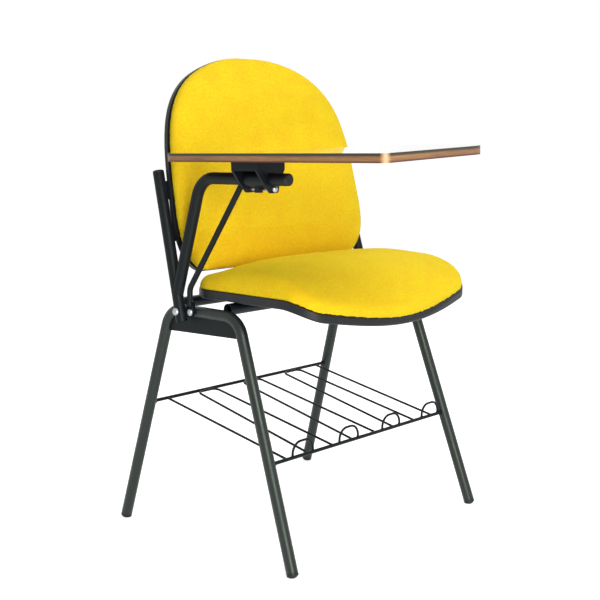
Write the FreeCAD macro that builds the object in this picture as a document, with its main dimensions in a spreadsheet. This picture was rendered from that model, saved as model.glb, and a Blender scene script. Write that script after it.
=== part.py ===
import FreeCAD, Part
import math
import os
import Sketcher

# Lecture chair with a folding writing tablet and a wire book rack.
#
# Construction frame, in millimetres: x = 0 is the chair's middle plane, the
# occupant's right is -X, the front is -Y, and z = 0 is the floor. The two side
# frames lean inwards, so each is drawn in its own side plane, with y along the
# chair and height along the plane. When all is built, everything is shifted so
# that the origin lies under the middle of the chair's bounding box.

V = FreeCAD.Vector
RIGHT = -1
LEFT = 1

SIZES = {
    # Steel tube and side frames
    "tube_diameter": 19.05,
    "tube_wall": 1.2,
    "side_lean_angle": 2.72,
    "foot_half_spread": 239.0,
    "rear_foot_y": 205.5,
    "front_foot_y": -205.5,
    "rear_knee_y": 94.7,
    "front_knee_y": -69.2,
    "rail_height": 388.5,
    "knee_radius": 40.0,
    # Side plates under the rails
    "plate_thickness": 2.0,
    "plate_rear_drop": 38.5,
    "plate_front_drop": 33.0,
    # Plastic foot plugs
    "plug_head": 8.0,
    "plug_spigot": 16.0,
    "plug_dome_radius": 12.0,
    "plug_dome_height": 10.5,
    "plug_clearance": 0.05,
    # Plastic tube caps
    "cap_head": 4.0,
    "cap_rounding": 2.6,
    "cap_spigot": 12.0,
    # Seat supports
    "front_crossbar_y": -40.0,
    "rear_crossbar_y": 71.0,
    "crossbar_lift": 10.4,
    "crossbar_end_setback": 4.6,
    "strap_x": 95.0,
    "strap_width": 30.0,
    "strap_thickness": 3.0,
    "strap_front_y": -124.0,
    "strap_rear_y": 77.0,
    "strap_front_hole_y": -108.0,
    "strap_rear_hole_y": 34.0,
    # Seat
    "seat_side_gap": 23.0,
    "seat_rear_y": 56.0,
    "seat_front_y": -236.5,
    "seat_rear_corner_radius": 45.0,
    "seat_front_corner_radius": 49.0,
    "seat_front_bow_radius": 815.0,
    "seat_lower_lip_y": -155.0,
    "seat_upper_lip_y": -159.5,
    "seat_lower_drop": 44.5,
    "seat_upper_drop": 49.0,
    "seat_shell_thickness": 14.0,
    "seat_shell_rounding_radius": 2.5,
    "seat_pad_height": 45.0,
    "seat_pad_crown": 8.0,
    "seat_pad_apex_y": -120.0,
    "seat_pad_rear_drop": 21.5,
    "seat_pad_front_drop": 70.0,
    "seat_pad_shoulder_radius": 22.0,
    "seat_pad_tuck_radius": 2.0,
    # Back
    "back_lift": 39.5,
    "back_bottom_y": 53.8,
    "back_lean_angle": 11.87,
    "back_height": 371.0,
    "back_side_gap": 12.0,
    "back_wrap": 12.0,
    "back_shell_thickness": 8.0,
    "back_pad_thickness": 22.0,
    "back_pad_crown": 7.0,
    # Upholstery edges
    "pad_clearance": 0.3,
    "pad_base_inset": 5.0,
    "pad_side_inset": 0.5,
    "pad_top_inset": 17.0,
    # Uprights that carry the back
    "upright_foot_y": 44.2,
    "upright_foot_drop": 16.5,
    "upright_lean_angle": 15.242,
    "upright_overrun": 26.0,
    "back_tab_lower_height": 70.0,
    "back_tab_upper_height": 140.0,
    "back_tab_inner_x": 192.0,
    "back_tab_outer_x": 232.0,
    "back_tab_width": 30.0,
    "back_tab_thickness": 5.0,
    "back_screw_x": 204.0,
    # Arm tube
    "arm_foot_rise": 43.0,
    "arm_knee_y": 5.0,
    "arm_lift": 219.5,
    "arm_knee_radius": 38.0,
    "arm_rise_angle": 0.8,
    "arm_front_y": -186.0,
    # Brace rod under the arm
    "brace_diameter": 9.5,
    "brace_top_y": -83.5,
    "brace_top_drop": 9.1660,
    "brace_bend_y": 31.0,
    "brace_bend_lift": 39.5,
    "brace_bend_radius": 18.0,
    "brace_eye_lap": 10.5,
    "brace_eye_width": 17.0,
    "brace_eye_thickness": 4.0,
    # Frame bolts
    "bolt_diameter": 7.0,
    "bolt_clearance": 0.1,
    "bolt_head_diameter": 13.0,
    "bolt_head_height": 4.5,
    "nut_across_flats": 11.0,
    "nut_height": 5.5,
    # Book rack
    "rack_bar_diameter": 6.0,
    "rack_wire_diameter": 4.0,
    "rack_rear_height": 219.0,
    "rack_front_height": 166.0,
    "slat_spacing": 55.6,
    "slat_offset": 4.0,
    "hairpin_front_width": 61.0,
    "hairpin_rear_width": 44.0,
    "hairpin_bend_radius": 11.0,
    "hoop_spacing": 114.0,
    "hoop_offset": 17.0,
    "hoop_width": 48.0,
    "hoop_height": 21.5,
    "hoop_bend_radius": 19.0,
    # Wood screws
    "screw_diameter": 4.5,
    "screw_clearance": 0.1,
    "screw_head_diameter": 9.0,
    "screw_head_height": 2.4,
    "screw_bite": 6.0,
    # Tablet hinge
    "tablet_tilt_angle": 1.8,
    "tablet_lift_angle": 93.0,
    "hinge_clearance": 0.07,
    "bracket_front_y": -152.0,
    "bracket_rear_y": -97.0,
    "bracket_half_width": 30.0,
    "bracket_skirt": 15.0,
    "bracket_sheet": 2.5,
    "cheek_thickness": 4.0,
    "cheek_neck_half_width": 15.0,
    "cheek_neck_drop": 7.0,
    "cheek_lobe_half_width": 8.5,
    "cheek_lobe_drop": 21.0,
    "cheek_rounding": 5.0,
    "collar_thickness": 3.0,
    "collar_end_gap": 0.4,
    "lug_reach": 20.5,
    "lug_width": 8.0,
    "lug_length": 10.0,
    "stop_pin_diameter": 6.0,
    "stop_pin_radius": 16.5,
    "stop_gap": 0.15,
    # Writing tablet
    "tablet_rise": 28.7,
    "tablet_core": 12.0,
    "tablet_laminate_thickness": 1.0,
    "tablet_band": 1.2,
    "tablet_outer_reach": 61.0,
    "tablet_inner_reach": 217.0,
    "tablet_rear_width": 96.0,
    "tablet_front_y": -421.0,
    "tablet_front_slant": 24.0,
    "tablet_rear_y": 31.0,
    "tablet_waist_rear_y": -95.0,
    "tablet_waist_front_y": -230.0,
    "tablet_waist_radius": 70.0,
    "tablet_front_inner_radius": 45.0,
    "tablet_front_outer_radius": 9.0,
    "tablet_rear_outer_radius": 30.0,
    "tablet_rear_inner_radius": 42.0,
    "tablet_screw_inset_x": 10.0,
    "tablet_screw_inset_y": 14.0,
}

doc = FreeCAD.newDocument("LectureChair")
sheet = doc.addObject("Spreadsheet::Sheet", "Sizes")
for row, (alias, value) in enumerate(SIZES.items(), start=1):
    sheet.set("A%d" % row, alias)
    sheet.set("B%d" % row, str(value))
    sheet.setAlias("B%d" % row, alias)
doc.recompute()

NODES = []


def size(name):
    return float(sheet.get(name))


def ref(name):
    return "Sizes." + name


def node(obj, label):
    obj.Label = label
    NODES.append(obj)
    return obj


# Places in the side planes


def lean_sin():
    return math.sin(math.radians(size("side_lean_angle")))


def lean_cos():
    return math.cos(math.radians(size("side_lean_angle")))


def side_point(side, outboard, y, height):
    """A point of a side plane, moved outboard square to the plane."""
    x = size("foot_half_spread") + outboard * lean_cos() - height * lean_sin()
    z = outboard * lean_sin() + height * lean_cos()
    return V(side * x, y, z)


def side_placement(side, outboard=0.0, y=0.0, height=0.0, turn=0.0):
    """Local Y and Z lie in the side plane; turn tips Z backwards from upright."""
    lean = FreeCAD.Rotation(V(0, 1, 0), -side * size("side_lean_angle"))
    pitch = FreeCAD.Rotation(V(1, 0, 0), -turn)
    return FreeCAD.Placement(side_point(side, outboard, y, height), lean.multiply(pitch))


def backward_angle(low, high):
    """Angle from upright, in degrees, of the line from low to high, both (y, height)."""
    return math.degrees(math.atan2(high[0] - low[0], high[1] - low[1]))


def along(low, high, distance):
    span = V(high[0] - low[0], high[1] - low[1], 0)
    step = span.normalize() * distance
    return (low[0] + step.x, low[1] + step.y)


def leg_y(foot, knee, z):
    """y of a leg's axis at height z over the floor."""
    share = z / lean_cos() / size("rail_height")
    return size(foot) + (size(knee) - size(foot)) * share


def leg_x(z):
    return size("foot_half_spread") - z / lean_cos() * lean_sin()


# Sketch and solid helpers


def origin_plane(body, role):
    for feature in body.Origin.OriginFeatures:
        if feature.Role == role:
            return feature


def plane_sketch(body, role, name, offset=0.0):
    sketch = body.newObject("Sketcher::SketchObject", name)
    sketch.AttachmentSupport = [(origin_plane(body, role), "")]
    sketch.MapMode = "FlatFace"
    sketch.AttachmentOffset = FreeCAD.Placement(V(0, 0, offset), FreeCAD.Rotation())
    return sketch


def bound_circle(sketch, radius_expression, centre=(0.0, 0.0)):
    """A circle whose radius follows the sheet; the origin's circles are pinned to it."""
    guess = size("tube_diameter")
    place = V(centre[0], centre[1], 0)
    circle = sketch.addGeometry(Part.Circle(place, V(0, 0, 1), guess), False)
    if centre == (0.0, 0.0):
        sketch.addConstraint(Sketcher.Constraint("Coincident", circle, 3, -1, 1))
    number = sketch.addConstraint(Sketcher.Constraint("Radius", circle, guess))
    sketch.setExpression("Constraints[%d]" % number, radius_expression)
    return circle


def rounded_edges(points, radii, closed):
    """Line and arc edges along a polyline whose corners are rounded."""
    corners = [V(x, y, 0) for x, y in points]
    count = len(corners)
    pieces = []
    ends = []
    for index, corner in enumerate(corners):
        radius = radii[index]
        if radius == 0 or (not closed and index in (0, count - 1)):
            ends.append((corner, corner))
            pieces.append(None)
            continue
        before = (corners[index - 1] - corner).normalize()
        after = (corners[(index + 1) % count] - corner).normalize()
        half = before.getAngle(after) / 2
        first = corner + before * (radius / math.tan(half))
        last = corner + after * (radius / math.tan(half))
        bisector = (before + after).normalize()
        middle = corner + bisector * (radius / math.sin(half) - radius)
        ends.append((first, last))
        pieces.append(Part.Arc(first, middle, last))
    edges = []
    for index in range(count):
        if pieces[index] is not None:
            edges.append(pieces[index])
        if closed or index < count - 1:
            edges.append(Part.LineSegment(ends[index][1], ends[(index + 1) % count][0]))
    return edges


def draw(sketch, edges):
    for edge in edges:
        sketch.addGeometry(edge, False)


def bent_tube(name, points, radius, diameter, wall=None, role="YZ_Plane"):
    """A tube or rod swept along a polyline with rounded corners."""
    body = doc.addObject("PartDesign::Body", name)
    path = plane_sketch(body, role, name + "_path")
    draw(path, rounded_edges(points, [radius] * len(points), False))
    doc.recompute()
    profile = body.newObject("Sketcher::SketchObject", name + "_profile")
    profile.AttachmentSupport = [(path, "Edge1")]
    profile.MapMode = "NormalToEdge"
    profile.MapPathParameter = 0.0
    bound_circle(profile, "%s / 2" % ref(diameter))
    if wall:
        bound_circle(profile, "%s / 2 - %s" % (ref(diameter), ref(wall)))
    pipe = body.newObject("PartDesign::AdditivePipe", name + "_pipe")
    pipe.Profile = profile
    pipe.Spine = (path, [])
    doc.recompute()
    return body


def straight_tube(name, length, diameter, wall=None):
    """A tube or rod along its own Z from zero to length."""
    body = doc.addObject("PartDesign::Body", name)
    ring = plane_sketch(body, "XY_Plane", name + "_ring")
    bound_circle(ring, "%s / 2" % ref(diameter))
    if wall:
        bound_circle(ring, "%s / 2 - %s" % (ref(diameter), ref(wall)))
    pad = body.newObject("PartDesign::Pad", name + "_length")
    pad.Profile = ring
    pad.Length = length
    doc.recompute()
    return body


def turned(name, outline):
    """A solid of revolution about Z. The outline holds (radius, height) corners,
    and (middle radius, middle height, radius, height) for an arc to a corner."""
    body = doc.addObject("PartDesign::Body", name)
    sketch = plane_sketch(body, "XZ_Plane", name + "_outline")
    edges = []
    here = V(outline[0][0], outline[0][1], 0)
    for step in outline[1:] + [outline[0]]:
        there = V(step[-2], step[-1], 0)
        if len(step) == 4:
            edges.append(Part.Arc(here, V(step[0], step[1], 0), there))
        else:
            edges.append(Part.LineSegment(here, there))
        here = there
    draw(sketch, edges)
    revolution = body.newObject("PartDesign::Revolution", name + "_turn")
    revolution.Profile = sketch
    revolution.ReferenceAxis = (sketch, ["V_Axis"])
    revolution.Angle = 360.0
    doc.recompute()
    return body


def add_pad(body, name, role, edges, length_expression, offset=0.0, reverse=False, middle=False):
    sketch = plane_sketch(body, role, name + "_sketch", offset)
    draw(sketch, edges)
    pad = body.newObject("PartDesign::Pad", name)
    pad.Profile = sketch
    pad.setExpression("Length", length_expression)
    pad.Reversed = reverse
    pad.Midplane = middle
    doc.recompute()
    return pad


def add_through_holes(body, name, role, radius_expression, centres):
    """Round holes square to an origin plane, right through the body both ways."""
    sketch = plane_sketch(body, role, name + "_sketch")
    for centre in centres:
        bound_circle(sketch, radius_expression, centre)
    pocket = body.newObject("PartDesign::Pocket", name)
    pocket.Profile = sketch
    pocket.Type = "ThroughAll"
    pocket.Midplane = True
    doc.recompute()
    return pocket


def lofted(name, role, stations, sign=1):
    """A smooth loft through closed four-edge sections; stations hold (offset, edges)."""
    body = doc.addObject("PartDesign::Body", name)
    sketches = []
    for index, (offset, edges) in enumerate(stations):
        sketch = plane_sketch(body, role, "%s_section_%d" % (name, index + 1), sign * offset)
        draw(sketch, edges)
        sketches.append(sketch)
    doc.recompute()
    loft = body.newObject("PartDesign::AdditiveLoft", name + "_loft")
    loft.Profile = sketches[0]
    loft.Sections = sketches[1:]
    loft.Ruled = False
    doc.recompute()
    return body


def cut(name, base, tool):
    result = doc.addObject("Part::Cut", name)
    result.Base = base
    result.Tool = tool
    doc.recompute()
    return result


def shape_feature(name, shapes):
    """Separate equal solids as one object, such as the screws of one joint."""
    feature = doc.addObject("Part::Feature", name)
    feature.Shape = Part.makeCompound(shapes) if len(shapes) > 1 else shapes[0]
    return feature


def placed(source, placement):
    copy = source.Shape.copy()
    copy.Placement = placement.multiply(source.Shape.Placement)
    return copy


def rectangle(left, right, low, high):
    points = [(left, low), (right, low), (right, high), (left, high)]
    return rounded_edges(points, [0] * len(points), True)


# Side frames: each is one tube bent to an inverted U, with a plate under the rail


def tube_radius():
    return size("tube_diameter") / 2


def bore_radius():
    return tube_radius() - size("tube_wall")


def leg_points():
    rail = size("rail_height")
    rear_foot = (size("rear_foot_y"), 0.0)
    front_foot = (size("front_foot_y"), 0.0)
    rear_knee = (size("rear_knee_y"), rail)
    front_knee = (size("front_knee_y"), rail)
    rear_end = along(rear_foot, rear_knee, size("plug_head"))
    front_end = along(front_foot, front_knee, size("plug_head"))
    return [rear_end, rear_knee, front_knee, front_end]


def upright_foot_height():
    return size("rail_height") - size("upright_foot_drop")


def upright_line():
    """(y, height) of the foot, and of the top a little above the upper back tab."""
    foot = (size("upright_foot_y"), upright_foot_height())
    lean = math.radians(size("back_lean_angle"))
    tab = back_bottom_height() + size("back_tab_upper_height") * math.cos(lean)
    top = tab + size("upright_overrun")
    run = (top - foot[1]) * math.tan(math.radians(size("upright_lean_angle")))
    return foot, (foot[0] + run, top)


def upright_y(height):
    foot, top = upright_line()
    share = (height - foot[1]) / (top[1] - foot[1])
    return foot[0] + (top[0] - foot[0]) * share


def bolt_places(side):
    """(y, height) of the bolts through a side rail: the upright's, and the brace's."""
    places = [(upright_y(size("rail_height")), size("rail_height"))]
    if side == RIGHT:
        places.append((size("brace_bend_y"), size("rail_height")))
    return places


def bolt_hole():
    return "%s / 2 + %s" % (ref("bolt_diameter"), ref("bolt_clearance"))


def make_side_frame(side, word):
    frame = bent_tube(word + "_leg_frame", leg_points(), size("knee_radius"),
                      "tube_diameter", "tube_wall")
    add_through_holes(frame, word + "_rail_holes", "YZ_Plane", bolt_hole(), bolt_places(side))
    frame.Placement = side_placement(side)
    node(frame, word + "_leg_frame")
    envelope = bent_tube(word + "_leg_envelope", leg_points(), size("knee_radius"),
                         "tube_diameter")
    envelope.Placement = side_placement(side)
    return envelope


def make_side_plate(side, word, envelope):
    rear = size("rail_height") - size("plate_rear_drop")
    front = size("rail_height") - size("plate_front_drop")
    rail = size("rail_height")
    corners = [
        (leg_y("rear_foot_y", "rear_knee_y", rear * lean_cos()), rear),
        (size("rear_knee_y"), rail),
        (size("front_knee_y"), rail),
        (leg_y("front_foot_y", "front_knee_y", front * lean_cos()), front),
    ]
    blank = doc.addObject("PartDesign::Body", word + "_plate_blank")
    knee = size("knee_radius")
    edges = rounded_edges(corners, [0, knee, knee, 0], True)
    add_pad(blank, word + "_plate_pad", "YZ_Plane", edges, ref("plate_thickness"), middle=True)
    blank.Placement = side_placement(side)
    node(cut(word + "_side_plate", blank, envelope), word + "_side_plate")


def make_foot_plug(side, word, end, floor):
    foot = (size(end + "_foot_y"), 0.0)
    knee = (size(end + "_knee_y"), size("rail_height"))
    radius = tube_radius()
    spigot = bore_radius() - size("plug_clearance")
    dome = size("plug_dome_radius")
    centre = size("plug_dome_height")
    shoulder = centre - math.sqrt(dome ** 2 - radius ** 2)
    half_way = math.asin(radius / dome) / 2
    top = size("plug_head") + size("plug_spigot")
    outline = [
        (0.0, centre - dome),
        (dome * math.sin(half_way), centre - dome * math.cos(half_way), radius, shoulder),
        (radius, size("plug_head")),
        (spigot, size("plug_head")),
        (spigot, top),
        (0.0, top),
    ]
    name = "%s_%s_foot_plug" % (end, word)
    plug = turned(name + "_blank", outline)
    plug.Placement = side_placement(side, 0.0, foot[0], 0.0, backward_angle(foot, knee))
    node(cut(name, plug, floor), name)


def make_floor():
    """Everything below the floor, to cut the plugs' domes flat."""
    floor = doc.addObject("Part::Box", "below_floor")
    floor.setExpression("Length", "2 * %s + 4 * %s" % (ref("foot_half_spread"), ref("tube_diameter")))
    floor.setExpression("Width", "%s - %s + 4 * %s" % (
        ref("rear_foot_y"), ref("front_foot_y"), ref("tube_diameter")))
    floor.setExpression("Height", ref("tube_diameter"))
    left = -size("foot_half_spread") - 2 * size("tube_diameter")
    front = size("front_foot_y") - 2 * size("tube_diameter")
    floor.Placement.Base = V(left, front, -size("tube_diameter"))
    return floor


# Seat supports: two crossbars between the rails, two straps on top of them


def crossbar_height():
    """Height of the crossbars' axes, saddled on the rails."""
    return size("rail_height") * lean_cos() + size("crossbar_lift")


def seat_underside():
    return crossbar_height() + tube_radius() + size("strap_thickness")


def seat_half_width():
    return size("foot_half_spread") - size("seat_side_gap")


def back_bottom_height():
    return seat_underside() + size("back_lift")


def back_half_width():
    return size("foot_half_spread") - size("back_side_gap")


def make_crossbar(name, y, envelopes):
    half = leg_x(size("rail_height") * lean_cos()) - size("crossbar_end_setback")
    bar = straight_tube(name + "_blank", 2 * half, "tube_diameter", "tube_wall")
    bar.Placement = FreeCAD.Placement(V(-half, y, crossbar_height()),
                                      FreeCAD.Rotation(V(0, 1, 0), 90))
    first = cut(name + "_right_cope", bar, envelopes[RIGHT])
    node(cut(name, first, envelopes[LEFT]), name)


def strap_hole_places():
    return (size("strap_front_hole_y"), size("strap_rear_hole_y"))


def make_strap(side, word):
    centre = side * size("strap_x")
    half = size("strap_width") / 2
    rounding = half / 2
    points = [
        (centre - half, size("strap_front_y")),
        (centre + half, size("strap_front_y")),
        (centre + half, size("strap_rear_y")),
        (centre - half, size("strap_rear_y")),
    ]
    name = word + "_seat_strap"
    strap = doc.addObject("PartDesign::Body", name)
    low = seat_underside() - size("strap_thickness")
    edges = rounded_edges(points, [rounding] * 4, True)
    add_pad(strap, name + "_pad", "XY_Plane", edges, ref("strap_thickness"), offset=low)
    centres = [(centre, y) for y in strap_hole_places()]
    add_through_holes(strap, name + "_holes", "XY_Plane", screw_hole(), centres)
    node(strap, name)


# Wood screws with pan heads, and their holes


def screw_hole():
    return "%s / 2 + %s" % (ref("screw_diameter"), ref("screw_clearance"))


def make_screw(name, sheet_thickness):
    """Head below zero; the shank runs up through a sheet and bites above it."""
    head = size("screw_head_diameter") / 2
    shank = size("screw_diameter") / 2
    height = size("screw_head_height")
    tip = sheet_thickness + size("screw_bite")
    outline = [
        (0.0, -height),
        (head * 0.55, -height * 0.9, head, -height * 0.25),
        (head, 0.0),
        (shank, 0.0),
        (shank, tip - shank),
        (0.0, tip),
    ]
    return turned(name, outline)


def make_hole_tool(name, length):
    """A plain drill for the screw's hole, from zero up to its tip."""
    drill = doc.addObject("Part::Cylinder", name)
    drill.setExpression("Radius", screw_hole())
    drill.Height = length
    doc.recompute()
    return drill


def make_seat_screws():
    thickness = size("strap_thickness")
    screw = make_screw("seat_screw_pattern", thickness)
    drill = make_hole_tool("seat_drill_pattern", thickness + size("screw_bite"))
    low = seat_underside() - thickness
    screws = []
    drills = []
    for side in (RIGHT, LEFT):
        for y in strap_hole_places():
            place = FreeCAD.Placement(V(side * size("strap_x"), y, low), FreeCAD.Rotation())
            screws.append(placed(screw, place))
            drills.append(placed(drill, place))
    node(shape_feature("seat_screws", screws), "seat_screws")
    return shape_feature("seat_drills", drills)


# Seat: a moulded shell with a turned-down front lip, and a crowned pad on it


def seat_outline(inset):
    """Plan outline: rounded rear corners, straight sides, a bowed front edge."""
    half = seat_half_width() - inset
    rear = size("seat_rear_y") - inset
    front = size("seat_front_y") + inset
    corner = size("seat_rear_corner_radius") - inset
    small = size("seat_front_corner_radius") - inset
    bow = size("seat_front_bow_radius") - inset
    bow_y = front + bow
    small_x = half - small
    small_y = bow_y - math.sqrt((bow - small) ** 2 - small_x ** 2)
    reach = bow / (bow - small)
    touch = V(small_x * reach, bow_y + (small_y - bow_y) * reach, 0)
    turn = math.atan2(bow_y - small_y, small_x) / 2
    edges = []
    for side in (LEFT, RIGHT):
        centre = V(side * small_x, small_y, 0)
        middle = centre + V(side * math.cos(turn), -math.sin(turn), 0) * small
        rear_centre = V(side * (half - corner), rear - corner, 0)
        rear_middle = rear_centre + V(side * math.sqrt(0.5), math.sqrt(0.5), 0) * corner
        side_rear = V(side * half, rear - corner, 0)
        side_front = V(side * half, small_y, 0)
        edges.append(Part.Arc(side_front, middle, V(side * touch.x, touch.y, 0)))
        edges.append(Part.LineSegment(side_rear, side_front))
        edges.append(Part.Arc(V(side * (half - corner), rear, 0), rear_middle, side_rear))
    edges.append(Part.Arc(V(-touch.x, touch.y, 0), V(0, front, 0), V(touch.x, touch.y, 0)))
    edges.append(Part.LineSegment(V(corner - half, rear, 0), V(half - corner, rear, 0)))
    return edges


def falling_arc(start, end):
    """An arc that leaves start level towards the front and drops to end."""
    run = start.x - end.x
    drop = start.y - end.y
    radius = (run ** 2 + drop ** 2) / (2 * drop)
    centre = V(start.x, start.y - radius, 0)
    half_turn = math.asin(run / radius) / 2
    middle = centre + V(-math.sin(half_turn), math.cos(half_turn), 0) * radius
    return Part.Arc(start, middle, end)


def seat_profile_points(lift):
    """Rear end, start of the lip and front end of the shell's upper face."""
    top = seat_underside() + size("seat_shell_thickness") + lift
    rear = V(size("seat_rear_y"), top, 0)
    lip = V(size("seat_upper_lip_y"), top, 0)
    front = V(size("seat_front_y"), top - size("seat_upper_drop"), 0)
    return rear, lip, front


def trim_to_outline(body, name, inset):
    """Cuts away everything that lies outside the plan outline."""
    far = 3 * seat_half_width()
    ring = plane_sketch(body, "XY_Plane", name + "_ring")
    draw(ring, rectangle(-far, far, -far, far) + seat_outline(inset))
    trim = body.newObject("PartDesign::Pocket", name)
    trim.Profile = ring
    trim.Type = "ThroughAll"
    trim.Midplane = True
    doc.recompute()
    return trim


def edges_between(shape, first, second):
    """Names of the edges where a face of one lean meets a face of another.
    A lean is up, down or level: the way the face's middle normal points."""
    leans = []
    for face in shape.Faces:
        low_u, high_u, low_v, high_v = face.ParameterRange
        normal = face.normalAt((low_u + high_u) / 2, (low_v + high_v) / 2)
        lean = "level"
        if abs(normal.z) > 0.1:
            lean = "up" if normal.z > 0 else "down"
        leans.append(lean)
    names = []
    for number, edge in enumerate(shape.Edges, start=1):
        touching = set()
        for face, lean in zip(shape.Faces, leans):
            if any(edge.isSame(other) for other in face.Edges):
                touching.add(lean)
        if touching == {first, second}:
            names.append("Edge%d" % number)
    return names


def add_fillet(body, name, edge_names, radius_name):
    fillet = body.newObject("PartDesign::Fillet", name)
    fillet.Base = (body.Tip if body.Tip != fillet else fillet.BaseFeature, edge_names)
    fillet.setExpression("Radius", ref(radius_name))
    doc.recompute()
    return fillet


def make_seat_shell(drills):
    shell = doc.addObject("PartDesign::Body", "seat_shell_blank")
    rear, lip, front = seat_profile_points(0.0)
    low_rear = V(rear.x, seat_underside(), 0)
    low_lip = V(size("seat_lower_lip_y"), seat_underside(), 0)
    low_front = V(front.x, seat_underside() - size("seat_lower_drop"), 0)
    edges = [
        Part.LineSegment(rear, lip),
        falling_arc(lip, front),
        Part.LineSegment(front, low_front),
        falling_arc(low_lip, low_front),
        Part.LineSegment(low_lip, low_rear),
        Part.LineSegment(low_rear, rear),
    ]
    width = "2 * (%s - %s)" % (ref("foot_half_spread"), ref("seat_side_gap"))
    add_pad(shell, "seat_shell_pad", "YZ_Plane", edges, width, middle=True)
    trimmed = trim_to_outline(shell, "seat_shell_trim", 0.0)
    names = edges_between(trimmed.Shape, "level", "down")
    add_fillet(shell, "seat_shell_rounding", names, "seat_shell_rounding_radius")
    node(cut("seat_shell", shell, drills), "seat_shell")


def make_seat_pad():
    """A block crowned both ways, trimmed to the outline, bedded on the shell, rounded."""
    pad = doc.addObject("PartDesign::Body", "seat_pad")
    clearance = size("pad_clearance")
    rear, lip, front = seat_profile_points(clearance)
    crown = rear.y + size("seat_pad_height")
    apex = V(size("seat_pad_apex_y"), crown, 0)
    back_top = V(rear.x, crown - size("seat_pad_rear_drop"), 0)
    front_top = V(front.x, crown - size("seat_pad_front_drop"), 0)
    floor = seat_underside() - size("seat_lower_drop")
    run = back_top.x - apex.x
    drop = size("seat_pad_rear_drop")
    radius = (run ** 2 + drop ** 2) / (2 * drop)
    half_turn = math.asin(run / radius) / 2
    centre = V(apex.x, apex.y - radius, 0)
    back_middle = centre + V(math.sin(half_turn), math.cos(half_turn), 0) * radius
    section = plane_sketch(pad, "YZ_Plane", "seat_pad_section")
    draw(section, [
        Part.Arc(back_top, back_middle, apex),
        falling_arc(apex, front_top),
        Part.LineSegment(front_top, V(front.x, floor, 0)),
        Part.LineSegment(V(front.x, floor, 0), V(rear.x, floor, 0)),
        Part.LineSegment(V(rear.x, floor, 0), back_top),
    ])
    half = seat_half_width()
    side_drop = size("seat_pad_crown")
    axis_drop = (half ** 2 + side_drop ** 2) / (2 * side_drop)
    axis = V(0, crown - axis_drop, 0)
    line = Part.LineSegment(axis, axis + V(half, 0, 0))
    section.addGeometry(line, True)
    doc.recompute()
    block = pad.newObject("PartDesign::Revolution", "seat_pad_block")
    block.Profile = section
    block.ReferenceAxis = (section, ["Axis0"])
    block.Angle = 2.4 * math.degrees(math.asin(half / axis_drop))
    block.Midplane = True
    doc.recompute()
    trim_to_outline(pad, "seat_pad_trim", size("pad_side_inset"))
    bed = plane_sketch(pad, "YZ_Plane", "seat_pad_bed")
    far = 2 * half
    bed_front = V(front.x, front.y, 0)
    draw(bed, [
        Part.LineSegment(V(far, rear.y, 0), lip),
        falling_arc(lip, bed_front),
        Part.LineSegment(bed_front, V(-far, front.y, 0)),
        Part.LineSegment(V(-far, front.y, 0), V(-far, 0, 0)),
        Part.LineSegment(V(-far, 0, 0), V(far, 0, 0)),
        Part.LineSegment(V(far, 0, 0), V(far, rear.y, 0)),
    ])
    bedding = pad.newObject("PartDesign::Pocket", "seat_pad_bedding")
    bedding.Profile = bed
    bedding.Type = "ThroughAll"
    bedding.Midplane = True
    doc.recompute()
    over = add_fillet(pad, "seat_pad_shoulder", edges_between(bedding.Shape, "level", "up"),
                      "seat_pad_shoulder_radius")
    add_fillet(pad, "seat_pad_tuck", edges_between(over.Shape, "level", "down"),
               "seat_pad_tuck_radius")
    node(pad, "seat_pad")


# Back: an arched shell, hollow across, with a crowned pad in front

# Shares of the back's height, of its half width, and of the pad's thickness
BACK_SHARES = [
    (0.000, 0.800, 0.30),
    (0.018, 0.872, 0.58),
    (0.060, 0.936, 0.85),
    (0.170, 0.998, 1.00),
    (0.320, 1.000, 1.00),
    (0.480, 0.983, 1.00),
    (0.610, 0.950, 1.00),
    (0.720, 0.893, 1.00),
    (0.810, 0.803, 0.99),
    (0.880, 0.680, 0.96),
    (0.935, 0.520, 0.88),
    (0.970, 0.360, 0.72),
    (0.990, 0.210, 0.50),
    (0.998, 0.100, 0.32),
]


def back_placement():
    base = V(0, size("back_bottom_y"), back_bottom_height())
    return FreeCAD.Placement(base, FreeCAD.Rotation(V(1, 0, 0), -size("back_lean_angle")))


def back_face(half):
    """How far the shell's front face lies behind its side edges at a half width."""
    return size("back_wrap") * (1 - (half / back_half_width()) ** 2)


def pad_section(half, full, base, base_middle, height, crown):
    """Closed section of a pad: base, bulged sides drawn in at the foot, crowned top.
    Heights grow away from the shell, and half / full scales the insets."""
    scale = half / full
    foot = half - size("pad_base_inset") * scale
    bulge = half - size("pad_side_inset") * scale
    shoulder = half - size("pad_top_inset") * scale
    bottom = Part.Arc(V(-foot, base, 0), V(0, base_middle, 0), V(foot, base, 0))
    side_middle = base + 0.45 * height
    top = base + height
    right = Part.Arc(V(foot, base, 0), V(bulge, side_middle, 0), V(shoulder, top, 0))
    over = Part.Arc(V(shoulder, top, 0), V(0, base_middle + height + crown, 0),
                    V(-shoulder, top, 0))
    left = Part.Arc(V(-shoulder, top, 0), V(-bulge, side_middle, 0), V(-foot, base, 0))
    return [bottom, right, over, left]


def back_shell_section(half):
    edge = back_face(half)
    thick = size("back_shell_thickness")
    middle = size("back_wrap")
    front = Part.Arc(V(-half, edge, 0), V(0, middle, 0), V(half, edge, 0))
    right = Part.LineSegment(V(half, edge, 0), V(half, edge + thick, 0))
    rear = Part.Arc(V(half, edge + thick, 0), V(0, middle + thick, 0), V(-half, edge + thick, 0))
    left = Part.LineSegment(V(-half, edge + thick, 0), V(-half, edge, 0))
    return [front, right, rear, left]


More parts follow.
